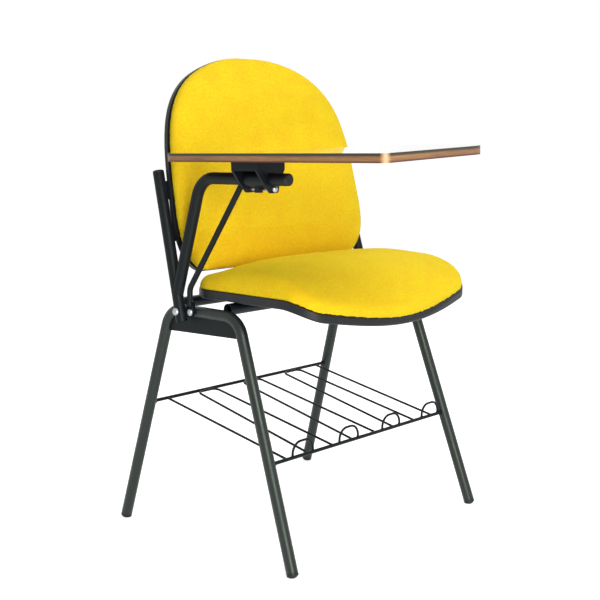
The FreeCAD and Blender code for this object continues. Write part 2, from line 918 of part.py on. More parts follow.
def mirrored_in_y(edges):
    """The same edges with y turned round, for a pad that grows towards the front."""
    flip = FreeCAD.Matrix()
    flip.A22 = -1
    result = []
    for edge in edges:
        copy = edge.copy()
        if isinstance(edge, Part.LineSegment):
            copy = Part.LineSegment(flip.multVec(edge.StartPoint), flip.multVec(edge.EndPoint))
        else:
            middle = edge.value((edge.FirstParameter + edge.LastParameter) / 2)
            copy = Part.Arc(flip.multVec(edge.value(edge.FirstParameter)), flip.multVec(middle),
                            flip.multVec(edge.value(edge.LastParameter)))
        result.append(copy)
    return result


def make_back(drills):
    full = back_half_width()
    shell = []
    pad = []
    for height_share, width_share, pad_share in BACK_SHARES:
        up = size("back_height") * height_share
        half = full * width_share
        shell.append((up, back_shell_section(half)))
        gap = size("pad_clearance")
        foot = half - size("pad_base_inset") * half / full
        base = gap - back_face(foot)
        middle = gap - size("back_wrap")
        thick = size("back_pad_thickness") * pad_share
        crown = size("back_pad_crown") * width_share * pad_share
        edges = pad_section(half, full, base, middle, thick, crown)
        pad.append((up, mirrored_in_y(edges)))
    shell_body = lofted("back_shell_blank", "XY_Plane", shell)
    shell_body.Placement = back_placement()
    shell_cut = cut("back_shell", shell_body, drills)
    node(shell_cut, "back_shell")
    pad_body = lofted("back_pad", "XY_Plane", pad)
    pad_body.Placement = back_placement()
    node(pad_body, "back_pad")
    return shell_body


# Uprights with their caps, and the tabs and screws that carry the back


def upright_placement(side):
    foot, top = upright_line()
    return side_placement(side, size("tube_diameter"), foot[0], foot[1], backward_angle(foot, top))


def upright_length():
    foot, top = upright_line()
    return math.hypot(top[0] - foot[0], top[1] - foot[1])


def make_upright(side, word):
    name = word + "_upright"
    tube = straight_tube(name, upright_length(), "tube_diameter", "tube_wall")
    foot, top = upright_line()
    tilt = math.radians(backward_angle(foot, top))
    hole = (0.0, (size("rail_height") - foot[1]) / math.cos(tilt))
    add_through_holes(tube, name + "_hole", "YZ_Plane", bolt_hole(), [hole])
    tube.Placement = upright_placement(side)
    node(tube, name)
    envelope = straight_tube(word + "_upright_envelope", upright_length(), "tube_diameter")
    envelope.Placement = upright_placement(side)
    return envelope


def cap_outline():
    """A tube cap: the spigot points down from zero, the rounded head stands above."""
    radius = tube_radius()
    spigot = bore_radius() - size("plug_clearance")
    head = size("cap_head")
    rounding = size("cap_rounding")
    inner = radius - rounding
    turn = math.sqrt(0.5) * rounding
    return [
        (0.0, -size("cap_spigot")),
        (spigot, -size("cap_spigot")),
        (spigot, 0.0),
        (radius, 0.0),
        (radius, head - rounding),
        (inner + turn, head - rounding + turn, inner, head),
        (0.0, head),
    ]


def make_upright_cap(side, word):
    name = word + "_upright_cap"
    cap = turned(name, cap_outline())
    up = FreeCAD.Placement(V(0, 0, upright_length()), FreeCAD.Rotation())
    cap.Placement = upright_placement(side).multiply(up)
    node(cap, name)


def tab_heights():
    return (size("back_tab_lower_height"), size("back_tab_upper_height"))


def back_screw_placement(side, up):
    """The head rests on the tab's rear face, and the shank points forwards."""
    face = back_face(size("back_screw_x")) + size("back_shell_thickness")
    head = face + size("back_tab_thickness")
    local = FreeCAD.Placement(V(side * size("back_screw_x"), head, up),
                              FreeCAD.Rotation(V(1, 0, 0), 90))
    return back_placement().multiply(local)


def make_back_screws():
    thickness = size("back_tab_thickness")
    screw = make_screw("back_screw_pattern", thickness)
    drill = make_hole_tool("back_drill_pattern", thickness + size("screw_bite"))
    screws = []
    drills = []
    for side in (RIGHT, LEFT):
        for up in tab_heights():
            place = back_screw_placement(side, up)
            screws.append(placed(screw, place))
            drills.append(placed(drill, place))
    node(shape_feature("back_screws", screws), "back_screws")
    return shape_feature("back_drills", drills)


def make_back_tabs(side, word, shell, upright, drills):
    """Steel tabs between the upright and the shell, shaped to both."""
    inner = size("back_tab_inner_x")
    outer = size("back_tab_outer_x")
    face = back_face(size("back_screw_x")) + size("back_shell_thickness")
    blanks = []
    for up in tab_heights():
        tab = doc.addObject("Part::Box", word + "_tab_blank")
        tab.setExpression("Length", "%s - %s" % (ref("back_tab_outer_x"), ref("back_tab_inner_x")))
        tab.setExpression("Width", "%s + %s / 2" % (
            ref("back_tab_thickness"), ref("back_shell_thickness")))
        tab.setExpression("Height", ref("back_tab_width"))
        doc.recompute()
        left = inner if side == LEFT else -outer
        low = up - size("back_tab_width") / 2
        local = V(left, face - size("back_shell_thickness") / 2, low)
        tab.Placement = back_placement().multiply(FreeCAD.Placement(local, FreeCAD.Rotation()))
        blanks.append(tab.Shape.copy())
    name = word + "_back_tabs"
    blank = shape_feature(name + "_blank", blanks)
    seated = cut(name + "_seat", blank, shell)
    welded = cut(name + "_cope", seated, upright)
    node(cut(name, welded, drills), name)


# Arm tube, brace rod and frame bolts


def arm_height_at(y):
    """The arm's top run rises a little towards the front."""
    level = size("rail_height") + size("arm_lift")
    return level - y * math.tan(math.radians(size("arm_rise_angle")))


def arm_points():
    knee = size("arm_knee_y")
    front = size("arm_front_y")
    foot = upright_foot_height() + size("arm_foot_rise")
    return [
        (upright_y(foot), foot),
        (knee, arm_height_at(knee)),
        (front, arm_height_at(front)),
    ]


def make_arm(upright):
    outboard = size("tube_diameter")
    tube = bent_tube("arm_tube_blank", arm_points(), size("arm_knee_radius"),
                     "tube_diameter", "tube_wall")
    tube.Placement = side_placement(RIGHT, outboard)
    node(cut("arm_tube", tube, upright), "arm_tube")
    envelope = bent_tube("arm_envelope", arm_points(), size("arm_knee_radius"), "tube_diameter")
    envelope.Placement = side_placement(RIGHT, outboard)
    cap = turned("arm_end_cap", cap_outline())
    front = size("arm_front_y")
    end = side_point(RIGHT, outboard, front, arm_height_at(front))
    forwards = FreeCAD.Rotation(V(1, 0, 0), 90)
    cap.Placement = FreeCAD.Placement(end, hinge_rotation().multiply(forwards))
    node(cap, "arm_end_cap")
    return envelope


def make_brace(arm):
    top = size("brace_top_y")
    points = [
        (top, arm_height_at(top) - size("brace_top_drop")),
        (size("brace_bend_y"), size("rail_height") + size("brace_bend_lift")),
        (size("brace_bend_y"), size("rail_height") + size("brace_eye_lap")),
    ]
    rod = bent_tube("arm_brace_blank", points, size("brace_bend_radius"), "brace_diameter")
    half = size("brace_eye_width") / 2
    centre = (size("brace_bend_y"), size("rail_height"))
    eye_top = centre[1] + size("brace_eye_lap") + half
    corners = [
        (centre[0] - half, centre[1] - half),
        (centre[0] + half, centre[1] - half),
        (centre[0] + half, eye_top),
        (centre[0] - half, eye_top),
    ]
    rounding = half - size("bolt_clearance")
    edges = rounded_edges(corners, [rounding] * len(corners), True)
    face = size("brace_diameter") / 2
    add_pad(rod, "brace_eye", "YZ_Plane", edges, ref("brace_eye_thickness"), offset=face,
            reverse=True)
    add_through_holes(rod, "brace_eye_hole", "YZ_Plane", bolt_hole(), [centre])
    rod.Placement = side_placement(RIGHT, tube_radius() + face)
    node(cut("arm_brace", rod, arm), "arm_brace")


def make_frame_bolts():
    """Dome-head bolts through the rails, with a nut on the inner side of each."""
    shank = size("bolt_diameter") / 2
    head = size("bolt_head_diameter") / 2
    height = size("bolt_head_height")
    bolts = []
    nuts = []
    for side, word in ((RIGHT, "right"), (LEFT, "left")):
        for index, (y, up) in enumerate(bolt_places(side)):
            grip = 2 * size("tube_diameter")
            if index == 1:
                grip = size("tube_diameter") + size("brace_eye_thickness")
            tip = grip + size("nut_height") + shank / 2
            outline = [
                (0.0, -height),
                (head * 0.72, -height * 0.72, head, 0.0),
                (shank, 0.0),
                (shank, tip),
                (0.0, tip),
            ]
            bolt = turned("%s_bolt_%d_pattern" % (word, index + 1), outline)
            outboard = grip - tube_radius()
            inwards = FreeCAD.Rotation(V(0, 1, 0), -side * 90)
            place = side_placement(side, outboard, y, up)
            place = place.multiply(FreeCAD.Placement(V(0, 0, 0), inwards))
            bolts.append(placed(bolt, place))
            nut = doc.addObject("Part::Prism", "%s_nut_%d_blank" % (word, index + 1))
            nut.Polygon = 6
            nut.setExpression("Circumradius", "%s / 1.7320508" % ref("nut_across_flats"))
            nut.setExpression("Height", ref("nut_height"))
            bore = doc.addObject("Part::Cylinder", "%s_nut_%d_bore" % (word, index + 1))
            bore.setExpression("Radius", bolt_hole())
            bore.setExpression("Height", ref("nut_height"))
            ring = cut("%s_nut_%d" % (word, index + 1), nut, bore)
            seat = FreeCAD.Placement(V(0, 0, grip), FreeCAD.Rotation())
            nuts.append(placed(ring, place.multiply(seat)))
    node(shape_feature("frame_bolts", bolts), "frame_bolts")
    node(shape_feature("frame_nuts", nuts), "frame_nuts")


# Book rack: two bars welded to the legs, wires between them, hoops in front


def rack_bar_line(foot, knee, height):
    """(y, z) of a rack bar that is butt-welded between a pair of legs."""
    z = size(height)
    return leg_y(foot, knee, z), z


def make_rack_bar(name, line, envelopes):
    y, z = line
    half = leg_x(z)
    bar = doc.addObject("Part::Cylinder", name + "_blank")
    bar.setExpression("Radius", "%s / 2" % ref("rack_bar_diameter"))
    bar.Height = 2 * half
    bar.Placement = FreeCAD.Placement(V(-half, y, z), FreeCAD.Rotation(V(0, 1, 0), 90))
    first = cut(name + "_right_cope", bar, envelopes[RIGHT])
    node(cut(name, first, envelopes[LEFT]), name)


def rack_plane_placement(rear, front):
    """Local Y runs down from the rear bar's axis to the front bar's, X across."""
    downhill = V(0, front[0] - rear[0], front[1] - rear[1]).normalize()
    turn = FreeCAD.Rotation(V(1, 0, 0), downhill, V(0, 0, 1), "XYZ")
    return FreeCAD.Placement(V(0, rear[0], rear[1]), turn)


def make_rack_wire(name, points, place):
    wire = bent_tube(name, points, size("hairpin_bend_radius"), "rack_wire_diameter",
                     role="XY_Plane")
    wire.Placement = place
    node(wire, name)


def make_rack(envelopes):
    rear = rack_bar_line("rear_foot_y", "rear_knee_y", "rack_rear_height")
    front = rack_bar_line("front_foot_y", "front_knee_y", "rack_front_height")
    make_rack_bar("rack_rear_bar", rear, envelopes)
    make_rack_bar("rack_front_bar", front, envelopes)
    bar = size("rack_bar_diameter") / 2
    place = rack_plane_placement(rear, front)
    last = math.hypot(front[0] - rear[0], front[1] - rear[1]) - bar
    spacing = size("slat_spacing")
    offset = size("slat_offset")
    hairpin_count = 3
    outer = (hairpin_count + 0.5) * spacing
    right = offset - outer
    make_rack_wire("rack_right_slat", [(right, bar), (right, last)], place)
    make_rack_wire("rack_left_slat", [(outer, bar), (outer, last)], place)
    bend = bar + size("rack_wire_diameter") / 2
    for index in range(hairpin_count):
        straight = (2 * index + 2) * spacing + right
        points = [
            (straight - size("hairpin_front_width"), last),
            (straight - size("hairpin_rear_width"), bend),
            (straight, bend),
            (straight, last),
        ]
        make_rack_wire("rack_hairpin_%d" % (index + 1), points, place)
    hoop_count = 4
    half = size("hoop_width") / 2
    low = front[1] + bar
    top = low + size("hoop_height")
    for index in range(hoop_count):
        name = "rack_hoop_%d" % (index + 1)
        points = [(-half, low), (-half, top), (half, top), (half, low)]
        hoop = bent_tube(name, points, size("hoop_bend_radius"), "rack_wire_diameter",
                         role="XZ_Plane")
        x = (index - (hoop_count - 1) / 2) * size("hoop_spacing") + size("hoop_offset")
        hoop.Placement.Base = V(x, front[0], 0)
        node(hoop, name)


# Tablet hinge. Angles about the arm's axis count from straight down towards the
# chair's middle. The stop pin under the bracket swings between two lugs.


def hinge_point():
    return side_point(RIGHT, size("tube_diameter"), 0.0, arm_height_at(0.0))


def hinge_rotation():
    """Turns Y onto the arm's axis, rearwards, and keeps Z as upright as it can."""
    front = size("arm_front_y")
    ahead = side_point(RIGHT, size("tube_diameter"), front, arm_height_at(front))
    rearwards = (hinge_point() - ahead).normalize()
    return FreeCAD.Rotation(V(1, 0, 0), rearwards, V(0, 0, 1), "YZX")


def tablet_placement():
    """Local origin on the arm's axis, X towards the chair's middle, tilted as at rest."""
    tilt = FreeCAD.Rotation(V(0, 1, 0), -size("tablet_tilt_angle"))
    return FreeCAD.Placement(hinge_point(), hinge_rotation().multiply(tilt))


def stop_angle():
    """Angle between a lug's middle and the pin that rests against it."""
    reach = size("lug_width") / 2 + size("stop_pin_diameter") / 2 + size("stop_gap")
    return math.degrees(math.asin(reach / size("stop_pin_radius")))


def stop_pin_place():
    """(x, z) of the pin in the tablet's own tilted frame."""
    angle = math.radians(stop_angle() - size("tablet_tilt_angle"))
    radius = size("stop_pin_radius")
    return radius * math.sin(angle), -radius * math.cos(angle)


def make_stop_collar():
    """A ring welded on the arm between the bracket's cheeks, with two stop lugs."""
    front = size("bracket_front_y") + size("cheek_thickness") + size("collar_end_gap")
    rear = size("bracket_rear_y") - size("cheek_thickness") - size("collar_end_gap")
    collar = doc.addObject("PartDesign::Body", "stop_collar")
    ring = plane_sketch(collar, "XZ_Plane", "collar_ring", -rear)
    bound_circle(ring, "%s / 2 + %s" % (ref("tube_diameter"), ref("collar_thickness")))
    pad = collar.newObject("PartDesign::Pad", "collar_length")
    pad.Profile = ring
    pad.Length = rear - front
    doc.recompute()
    middle = (front + rear) / 2
    inner = tube_radius()
    angles = (0.0, 2 * stop_angle() + size("tablet_lift_angle"))
    for index, angle in enumerate(angles):
        turn = math.radians(angle)
        out = V(math.sin(turn), -math.cos(turn), 0)
        across = V(out.y, -out.x, 0) * (size("lug_width") / 2)
        corners = [
            out * inner - across,
            out * size("lug_reach") - across,
            out * size("lug_reach") + across,
            out * inner + across,
        ]
        edges = rounded_edges([(corner.x, corner.y) for corner in corners], [0] * len(corners), True)
        offset = -middle - size("lug_length") / 2
        add_pad(collar, "collar_lug_%d" % (index + 1), "XZ_Plane", edges, ref("lug_length"),
                offset=offset)
    bore = add_through_holes(collar, "collar_bore_cut", "XZ_Plane",
                             "%s / 2" % ref("tube_diameter"), [(0.0, 0.0)])
    collar.Tip = bore
    doc.recompute()
    collar.Placement = FreeCAD.Placement(hinge_point(), hinge_rotation())
    node(collar, "stop_collar")


def bracket_screw_places():
    """(x, y) of the four screws that hold the tablet."""
    x = size("bracket_half_width") - size("tablet_screw_inset_x")
    front = size("bracket_front_y") + size("tablet_screw_inset_y")
    rear = size("bracket_rear_y") - size("tablet_screw_inset_y")
    return [(-x, front), (x, front), (-x, rear), (x, rear)]


def make_bracket():
    """Folded steel: a web under the tablet, skirts beside it, a cheek at each end."""
    half = size("bracket_half_width")
    front = size("bracket_front_y")
    rear = size("bracket_rear_y")
    sheet_gauge = size("bracket_sheet")
    rise = size("tablet_rise")
    skirt = size("bracket_skirt")
    bracket = doc.addObject("PartDesign::Body", "tablet_bracket")
    outer = rectangle(-half, half, front, rear)
    add_pad(bracket, "bracket_block", "XY_Plane", outer, ref("bracket_skirt"), offset=rise,
            reverse=True)
    hollow = plane_sketch(bracket, "XY_Plane", "bracket_hollow", rise - skirt)
    draw(hollow, rectangle(-half + sheet_gauge, half - sheet_gauge,
                           front + sheet_gauge, rear - sheet_gauge))
    pocket = bracket.newObject("PartDesign::Pocket", "bracket_inside")
    pocket.Profile = hollow
    pocket.Reversed = True
    pocket.setExpression("Length", "%s - %s" % (ref("bracket_skirt"), ref("bracket_sheet")))
    doc.recompute()
    neck = size("cheek_neck_half_width")
    lobe = size("cheek_lobe_half_width")
    pin_x, pin_z = stop_pin_place()
    cheek = [
        (-half, rise - sheet_gauge),
        (-half, rise - skirt),
        (-neck, -size("cheek_neck_drop")),
        (pin_x - lobe, -size("cheek_lobe_drop")),
        (pin_x + lobe, -size("cheek_lobe_drop")),
        (neck + sheet_gauge, -size("cheek_neck_drop")),
        (half, rise - skirt),
        (half, rise - sheet_gauge),
    ]
    rounding = size("cheek_rounding")
    radii = [0, 0, rounding, rounding, rounding, rounding, 0, 0]
    edges = rounded_edges(cheek, radii, True)
    add_pad(bracket, "front_cheek", "XZ_Plane", edges, ref("cheek_thickness"), offset=-front,
            reverse=True)
    edges = rounded_edges(cheek, radii, True)
    add_pad(bracket, "rear_cheek", "XZ_Plane", edges, ref("cheek_thickness"), offset=-rear)
    add_through_holes(bracket, "bracket_bore", "XZ_Plane",
                      "%s / 2 + %s" % (ref("tube_diameter"), ref("hinge_clearance")), [(0.0, 0.0)])
    add_through_holes(bracket, "stop_pin_holes", "XZ_Plane",
                      "%s / 2 + %s" % (ref("stop_pin_diameter"), ref("bolt_clearance")),
                      [(pin_x, pin_z)])
    add_through_holes(bracket, "web_holes", "XY_Plane", screw_hole(), bracket_screw_places())
    bracket.Placement = tablet_placement()
    node(bracket, "tablet_bracket")


def make_stop_pin():
    """A dome-head bolt through both cheeks, with its nut behind the rear one."""
    shank = size("stop_pin_diameter") / 2
    head = shank * 1.8
    grip = size("bracket_rear_y") - size("bracket_front_y")
    nut_height = size("stop_pin_diameter") * 0.8
    tip = grip + nut_height + shank / 4
    outline = [
        (0.0, -shank * 1.2),
        (head * 0.72, -shank * 0.9, head, 0.0),
        (shank, 0.0),
        (shank, tip),
        (0.0, tip),
    ]
    pin_x, pin_z = stop_pin_place()
    backwards = FreeCAD.Rotation(V(1, 0, 0), -90)
    local = FreeCAD.Placement(V(pin_x, size("bracket_front_y"), pin_z), backwards)
    pin = turned("stop_pin", outline)
    pin.Placement = tablet_placement().multiply(local)
    node(pin, "stop_pin")
    blank = doc.addObject("Part::Prism", "stop_nut_blank")
    blank.Polygon = 6
    blank.Circumradius = head
    blank.Height = nut_height
    bore = doc.addObject("Part::Cylinder", "stop_nut_bore")
    bore.setExpression("Radius", "%s / 2 + %s" % (ref("stop_pin_diameter"), ref("bolt_clearance")))
    bore.Height = nut_height
    nut = cut("stop_nut", blank, bore)
    seat = FreeCAD.Placement(V(0, 0, grip), FreeCAD.Rotation())
    nut.Placement = tablet_placement().multiply(local).multiply(seat)
    node(nut, "stop_nut")


def tablet_outline(inset):
    """Plan outline of the tablet, drawn in by inset: broad in front, narrow behind."""
    outer = -size("tablet_outer_reach") + inset
    inner = size("tablet_inner_reach") - inset
    rear = size("tablet_rear_y") - inset
    waist = -size("tablet_outer_reach") + size("tablet_rear_width") - inset
    slant = math.atan2(size("tablet_waist_rear_y") - size("tablet_waist_front_y"),
                       size("tablet_inner_reach") + size("tablet_outer_reach")
                       - size("tablet_rear_width"))
    slide = inset * math.tan((math.pi / 2 - slant) / 2)
    full = size("tablet_inner_reach") + size("tablet_outer_reach")
    sweep = math.atan2(size("tablet_front_slant"), full)
    edge = size("tablet_front_y") + inset / math.cos(sweep)
    points = [
        (outer, rear),
        (outer, edge + inset * math.tan(sweep)),
        (inner, edge + (full - inset) * math.tan(sweep)),
        (inner, size("tablet_waist_front_y") - slide),
        (waist, size("tablet_waist_rear_y") - slide),
        (waist, rear),
    ]
    bend = size("tablet_waist_radius")
    radii = [
        size("tablet_rear_outer_radius") - inset,
        size("tablet_front_outer_radius") - inset,
        size("tablet_front_inner_radius") - inset,
        bend - inset,
        bend + inset,
        size("tablet_rear_inner_radius") - inset,
    ]
    return rounded_edges(points, radii, True)


def make_tablet():
    rise = size("tablet_rise")
    band = size("tablet_band")
    core = size("tablet_core")
    board = doc.addObject("PartDesign::Body", "tablet_board_blank")
    add_pad(board, "board_pad", "XY_Plane", tablet_outline(band), ref("tablet_core"), offset=rise)
    board.Placement = tablet_placement()
    screw = make_screw("tablet_screw_pattern", size("bracket_sheet"))
    drill = make_hole_tool("tablet_drill_pattern", size("bracket_sheet") + size("screw_bite"))
    screws = []
    drills = []
    for x, y in bracket_screw_places():
        local = FreeCAD.Placement(V(x, y, rise - size("bracket_sheet")), FreeCAD.Rotation())
        place = tablet_placement().multiply(local)
        screws.append(placed(screw, place))
        drills.append(placed(drill, place))
    node(cut("tablet_board", board, shape_feature("tablet_drills", drills)), "tablet_board")
    node(shape_feature("tablet_screws", screws), "tablet_screws")
    laminate = doc.addObject("PartDesign::Body", "tablet_laminate")
    add_pad(laminate, "laminate_pad", "XY_Plane", tablet_outline(band),
            ref("tablet_laminate_thickness"), offset=rise + core)
    laminate.Placement = tablet_placement()
    node(laminate, "tablet_laminate")
    edging = doc.addObject("PartDesign::Body", "tablet_edge_band")
    both = tablet_outline(0.0) + tablet_outline(band)
    height = "%s + %s" % (ref("tablet_core"), ref("tablet_laminate_thickness"))
    add_pad(edging, "band_pad", "XY_Plane", both, height, offset=rise)
    edging.Placement = tablet_placement()
    node(edging, "tablet_edge_band")


# Build everything, check it, and write one file for each node


def build():
    floor = make_floor()
    envelopes = {}
    uprights = {}
    for side, word in ((RIGHT, "right"), (LEFT, "left")):
        envelopes[side] = make_side_frame(side, word)
        make_side_plate(side, word, envelopes[side])
        for end in ("front", "rear"):
            make_foot_plug(side, word, end, floor)
        make_strap(side, word)
        uprights[side] = make_upright(side, word)
        make_upright_cap(side, word)
    make_crossbar("front_crossbar", size("front_crossbar_y"), envelopes)
    make_crossbar("rear_crossbar", size("rear_crossbar_y"), envelopes)
    make_seat_shell(make_seat_screws())
    make_seat_pad()
    back_drills = make_back_screws()
    back_shell = make_back(back_drills)
    for side, word in ((RIGHT, "right"), (LEFT, "left")):
        make_back_tabs(side, word, back_shell, uprights[side], back_drills)
    arm = make_arm(uprights[RIGHT])
    make_brace(arm)
    make_frame_bolts()
    make_rack(envelopes)
    make_stop_collar()
    make_bracket()
    make_stop_pin()
    make_tablet()
    doc.recompute()


def check():
    for obj in doc.Objects:
        if "Invalid" in obj.State or "Error" in obj.State:
            raise RuntimeError("%s failed to build" % obj.Label)
    for obj in NODES:
        if obj.Shape.isNull() or not obj.Shape.isValid() or not obj.Shape.Solids:
            raise RuntimeError("%s has no valid solid" % obj.Label)


def shift_to_row_frame():
    """Puts the origin under the middle of the chair's bounding box."""
    box = FreeCAD.BoundBox()
    for obj in NODES:
        box.add(obj.Shape.optimalBoundingBox(False, False))
    shift = V(-box.Center.x, -box.Center.y, -box.ZMin)
    for obj in NODES:
        obj.Placement.Base = obj.Placement.Base + shift
    print("overall size %.1f x %.1f x %.1f" % (box.XLength, box.YLength, box.ZLength))
    print("shift to the row frame %.4f %.4f %.4f" % (shift.x, shift.y, shift.z))
    hinge = hinge_point() + shift
    print("hinge axis through %.4f %.4f %.4f" % (hinge.x, hinge.y, hinge.z))
    forwards = hinge_rotation().multVec(V(0, -1, 0))
    print("hinge axis along %.8f %.8f %.8f" % (forwards.x, forwards.y, forwards.z))


def export():
    os.makedirs("parts", exist_ok=True)
    for obj in NODES:
        obj.Shape.exportStep("parts/%s.step" % obj.Label)
    print("%d nodes written" % len(NODES))


build()
check()
shift_to_row_frame()
export()
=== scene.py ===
# %% [markdown]
# # A lecture chair with a writing tablet
#
# The chair is a frame of black enamelled steel tube with a yellow upholstered seat and
# back, a tablet of laminated board that swings up on the right arm, and a wire book rack.
# The rigid pieces arrive as finished solids, so this script gives them their finishes. It
# models what solids can't hold: the two stuffed pads with their fabric, and the weld beads.
#
# Everything is in metres. X runs to the sitter's left, Y to the back and Z up.

# %% Load the solids
import math

import bmesh
import bpy
import numpy as np
from mathutils import Matrix, Vector, noise
from mathutils.bvhtree import BVHTree
from mathutils.kdtree import KDTree


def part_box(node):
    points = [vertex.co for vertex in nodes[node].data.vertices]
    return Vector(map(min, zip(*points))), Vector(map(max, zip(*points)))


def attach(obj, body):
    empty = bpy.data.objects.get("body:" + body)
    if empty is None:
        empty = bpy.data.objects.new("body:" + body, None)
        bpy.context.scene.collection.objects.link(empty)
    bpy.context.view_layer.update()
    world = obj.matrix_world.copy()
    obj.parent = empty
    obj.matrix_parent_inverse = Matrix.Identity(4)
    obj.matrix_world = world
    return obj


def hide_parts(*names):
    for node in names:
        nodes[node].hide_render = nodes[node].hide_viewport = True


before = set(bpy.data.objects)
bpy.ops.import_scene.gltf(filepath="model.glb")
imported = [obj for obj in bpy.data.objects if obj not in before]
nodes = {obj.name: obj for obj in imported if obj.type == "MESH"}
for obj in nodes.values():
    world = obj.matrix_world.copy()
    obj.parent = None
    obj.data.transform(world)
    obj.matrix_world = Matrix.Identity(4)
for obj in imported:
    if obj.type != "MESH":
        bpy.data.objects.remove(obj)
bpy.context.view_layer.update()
MM = 0.001

# %% [markdown]
# ## Where the camera stands
#
# A catalogue picture of a chair is taken from in front of one corner and a little above the
# seat, with a long lens, so that upright lines stay nearly upright. A camera can be aimed by
# an object that it tracks or by its own angles. Here the angles are written down: how far
# the view turns from straight back towards the chair's left, and how far it looks down.

# %% Camera
EYE = Vector((-1.4163, -1.2289, 0.6825))
VIEW_TURN = math.radians(47.088)
VIEW_DROP = math.radians(8.605)
LENS_MM = 67.06
SENSOR_MM = 36.0

camera_data = bpy.data.cameras.new("photo_view")
camera_data.lens = LENS_MM
camera_data.sensor_width = SENSOR_MM
camera = bpy.data.objects.new("photo_view", camera_data)
bpy.context.scene.collection.objects.link(camera)
turn = Matrix.Rotation(-VIEW_TURN, 4, "Z") @ Matrix.Rotation(math.pi / 2 - VIEW_DROP, 4, "X")
camera.matrix_world = Matrix.Translation(EYE) @ turn
bpy.context.scene.camera = camera
print("camera", tuple(round(v, 3) for v in EYE), "lens", LENS_MM)

# %% [markdown]
# ## Helpers for materials
#
# A finish is a small network of nodes. Each one starts the same way, with one Principled
# shader, and then gets patterns from noise or waves that read Object coordinates, so that a
# pattern stays on its piece when the piece moves. These helpers keep each recipe short: they
# add one node, set its values and join its inputs.

# %% Node helpers
NOISE_LOW, NOISE_HIGH = 0.3, 0.7  # nearly all of a noise's values lie between these


def add_node(tree, kind, inputs=None, **settings):
    """Adds a node, sets its settings, and fills or links its inputs by name or number."""
    made = tree.nodes.new(kind)
    for name, value in settings.items():
        setattr(made, name, value)
    for key, value in (inputs or {}).items():
        socket = made.inputs[key]
        if isinstance(value, bpy.types.NodeSocket):
            tree.links.new(value, socket)
        else:
            socket.default_value = value
    return made


def math_node(tree, operation, first, second=0.0, third=0.0):
    values = {0: first, 1: second, 2: third}
    return add_node(tree, "ShaderNodeMath", values, operation=operation).outputs[0]


def vector_node(tree, operation, first, second=None, scale=None):
    values = {0: first}
    if second is not None:
        values[1] = second
    if scale is not None:
        values["Scale"] = scale
    made = add_node(tree, "ShaderNodeVectorMath", values, operation=operation)
    return made.outputs["Value" if operation in ("DOT_PRODUCT", "LENGTH") else "Vector"]


def linear(red, green, blue):
    """A colour as seen on a screen, 0 to 255, as the linear light that shaders work in."""
    parts = []
    for value in (red, green, blue):
        share = value / 255
        parts.append(share / 12.92 if share <= 0.04045 else ((share + 0.055) / 1.055) ** 2.4)
    return (*parts, 1.0)


def object_coordinates(tree):
    return tree.nodes.new("ShaderNodeTexCoord").outputs["Object"]


def start_finish(name, **sockets):
    """A material with one Principled shader whose plain values sit on its own sockets."""
    finish = bpy.data.materials.new(name)
    finish.use_nodes = True
    tree = finish.node_tree
    shader = tree.nodes["Principled BSDF"]
    for key, value in sockets.items():
        shader.inputs[key.replace("_", " ")].default_value = value
    return finish, tree, shader


def noise_value(tree, place, scale, detail=2.0, roughness=0.5):
    inputs = {"Vector": place, "Scale": scale, "Detail": detail, "Roughness": roughness}
    return add_node(tree, "ShaderNodeTexNoise", inputs).outputs["Fac"]


def two_tone(tree, share, first, second):
    """A colour that goes from first to second as share goes from 0 to 1."""
    inputs = {("Factor", "VALUE"): share, ("A", "RGBA"): first, ("B", "RGBA"): second}
    made = tree.nodes.new("ShaderNodeMix")
    made.data_type = "RGBA"
    for socket in made.inputs:
        value = inputs.get((socket.name, socket.type))
        if value is not None:
            if isinstance(value, bpy.types.NodeSocket):
                tree.links.new(value, socket)
            else:
                socket.default_value = value
    return next(out for out in made.outputs if out.type == "RGBA")


def remap(tree, value, low, high, to_low, to_high):
    inputs = {"Value": value, "From Min": low, "From Max": high,
              "To Min": to_low, "To Max": to_high}
    return add_node(tree, "ShaderNodeMapRange", inputs).outputs["Result"]


def relief(tree, shader, height, depth, strength=1.0):
    """Bump from a height between 0 and 1, depth metres tall."""
    bump = add_node(tree, "ShaderNodeBump", {"Height": height, "Distance": depth,
                                             "Strength": strength})
    tree.links.new(bump.outputs["Normal"], shader.inputs["Normal"])


print("mid grey 128 is linear", round(linear(128, 128, 128)[0], 3))

# %% [markdown]
# ## Black enamel on steel tube
#
# Frames like this are dipped or powder coated in glossy black. The coat has a faint orange
# peel, is a little duller in places, and mirrors the room as a soft streak along each tube.
# A dark base with a moderate roughness, whose value wanders with a large noise, gives the
# streak its uneven edge, and a fine noise as bump gives the peel.
#
# The finish is made three times. The legs mirror most, the tubes and plates above them less,
# and the thin wires least, because their sharp curve spreads the streak.

# %% Enamel finish
PEEL_SCALE = 1 / (2.2 * MM)
PEEL_DEPTH = 0.05 * MM
CLOUD_SCALE = 1 / (45 * MM)
ENAMEL_DEEP = linear(10, 12, 20)
ENAMEL_PALE = linear(20, 24, 30)
ENAMEL_TINT = linear(232, 250, 226)


def enamel(name, roughness, specular):
    finish, tree, shader = start_finish(name, Specular_IOR_Level=specular, IOR=1.5)
    shader.inputs["Specular Tint"].default_value = ENAMEL_TINT
    place = object_coordinates(tree)
    cloud = noise_value(tree, place, CLOUD_SCALE, 3.0)
    peel = noise_value(tree, place, PEEL_SCALE, 1.0)
    colour = two_tone(tree, cloud, ENAMEL_DEEP, ENAMEL_PALE)
    tree.links.new(colour, shader.inputs["Base Color"])
    gloss = remap(tree, cloud, NOISE_LOW, NOISE_HIGH, roughness - 0.06, roughness + 0.08)
    tree.links.new(gloss, shader.inputs["Roughness"])
    relief(tree, shader, peel, PEEL_DEPTH)
    return finish


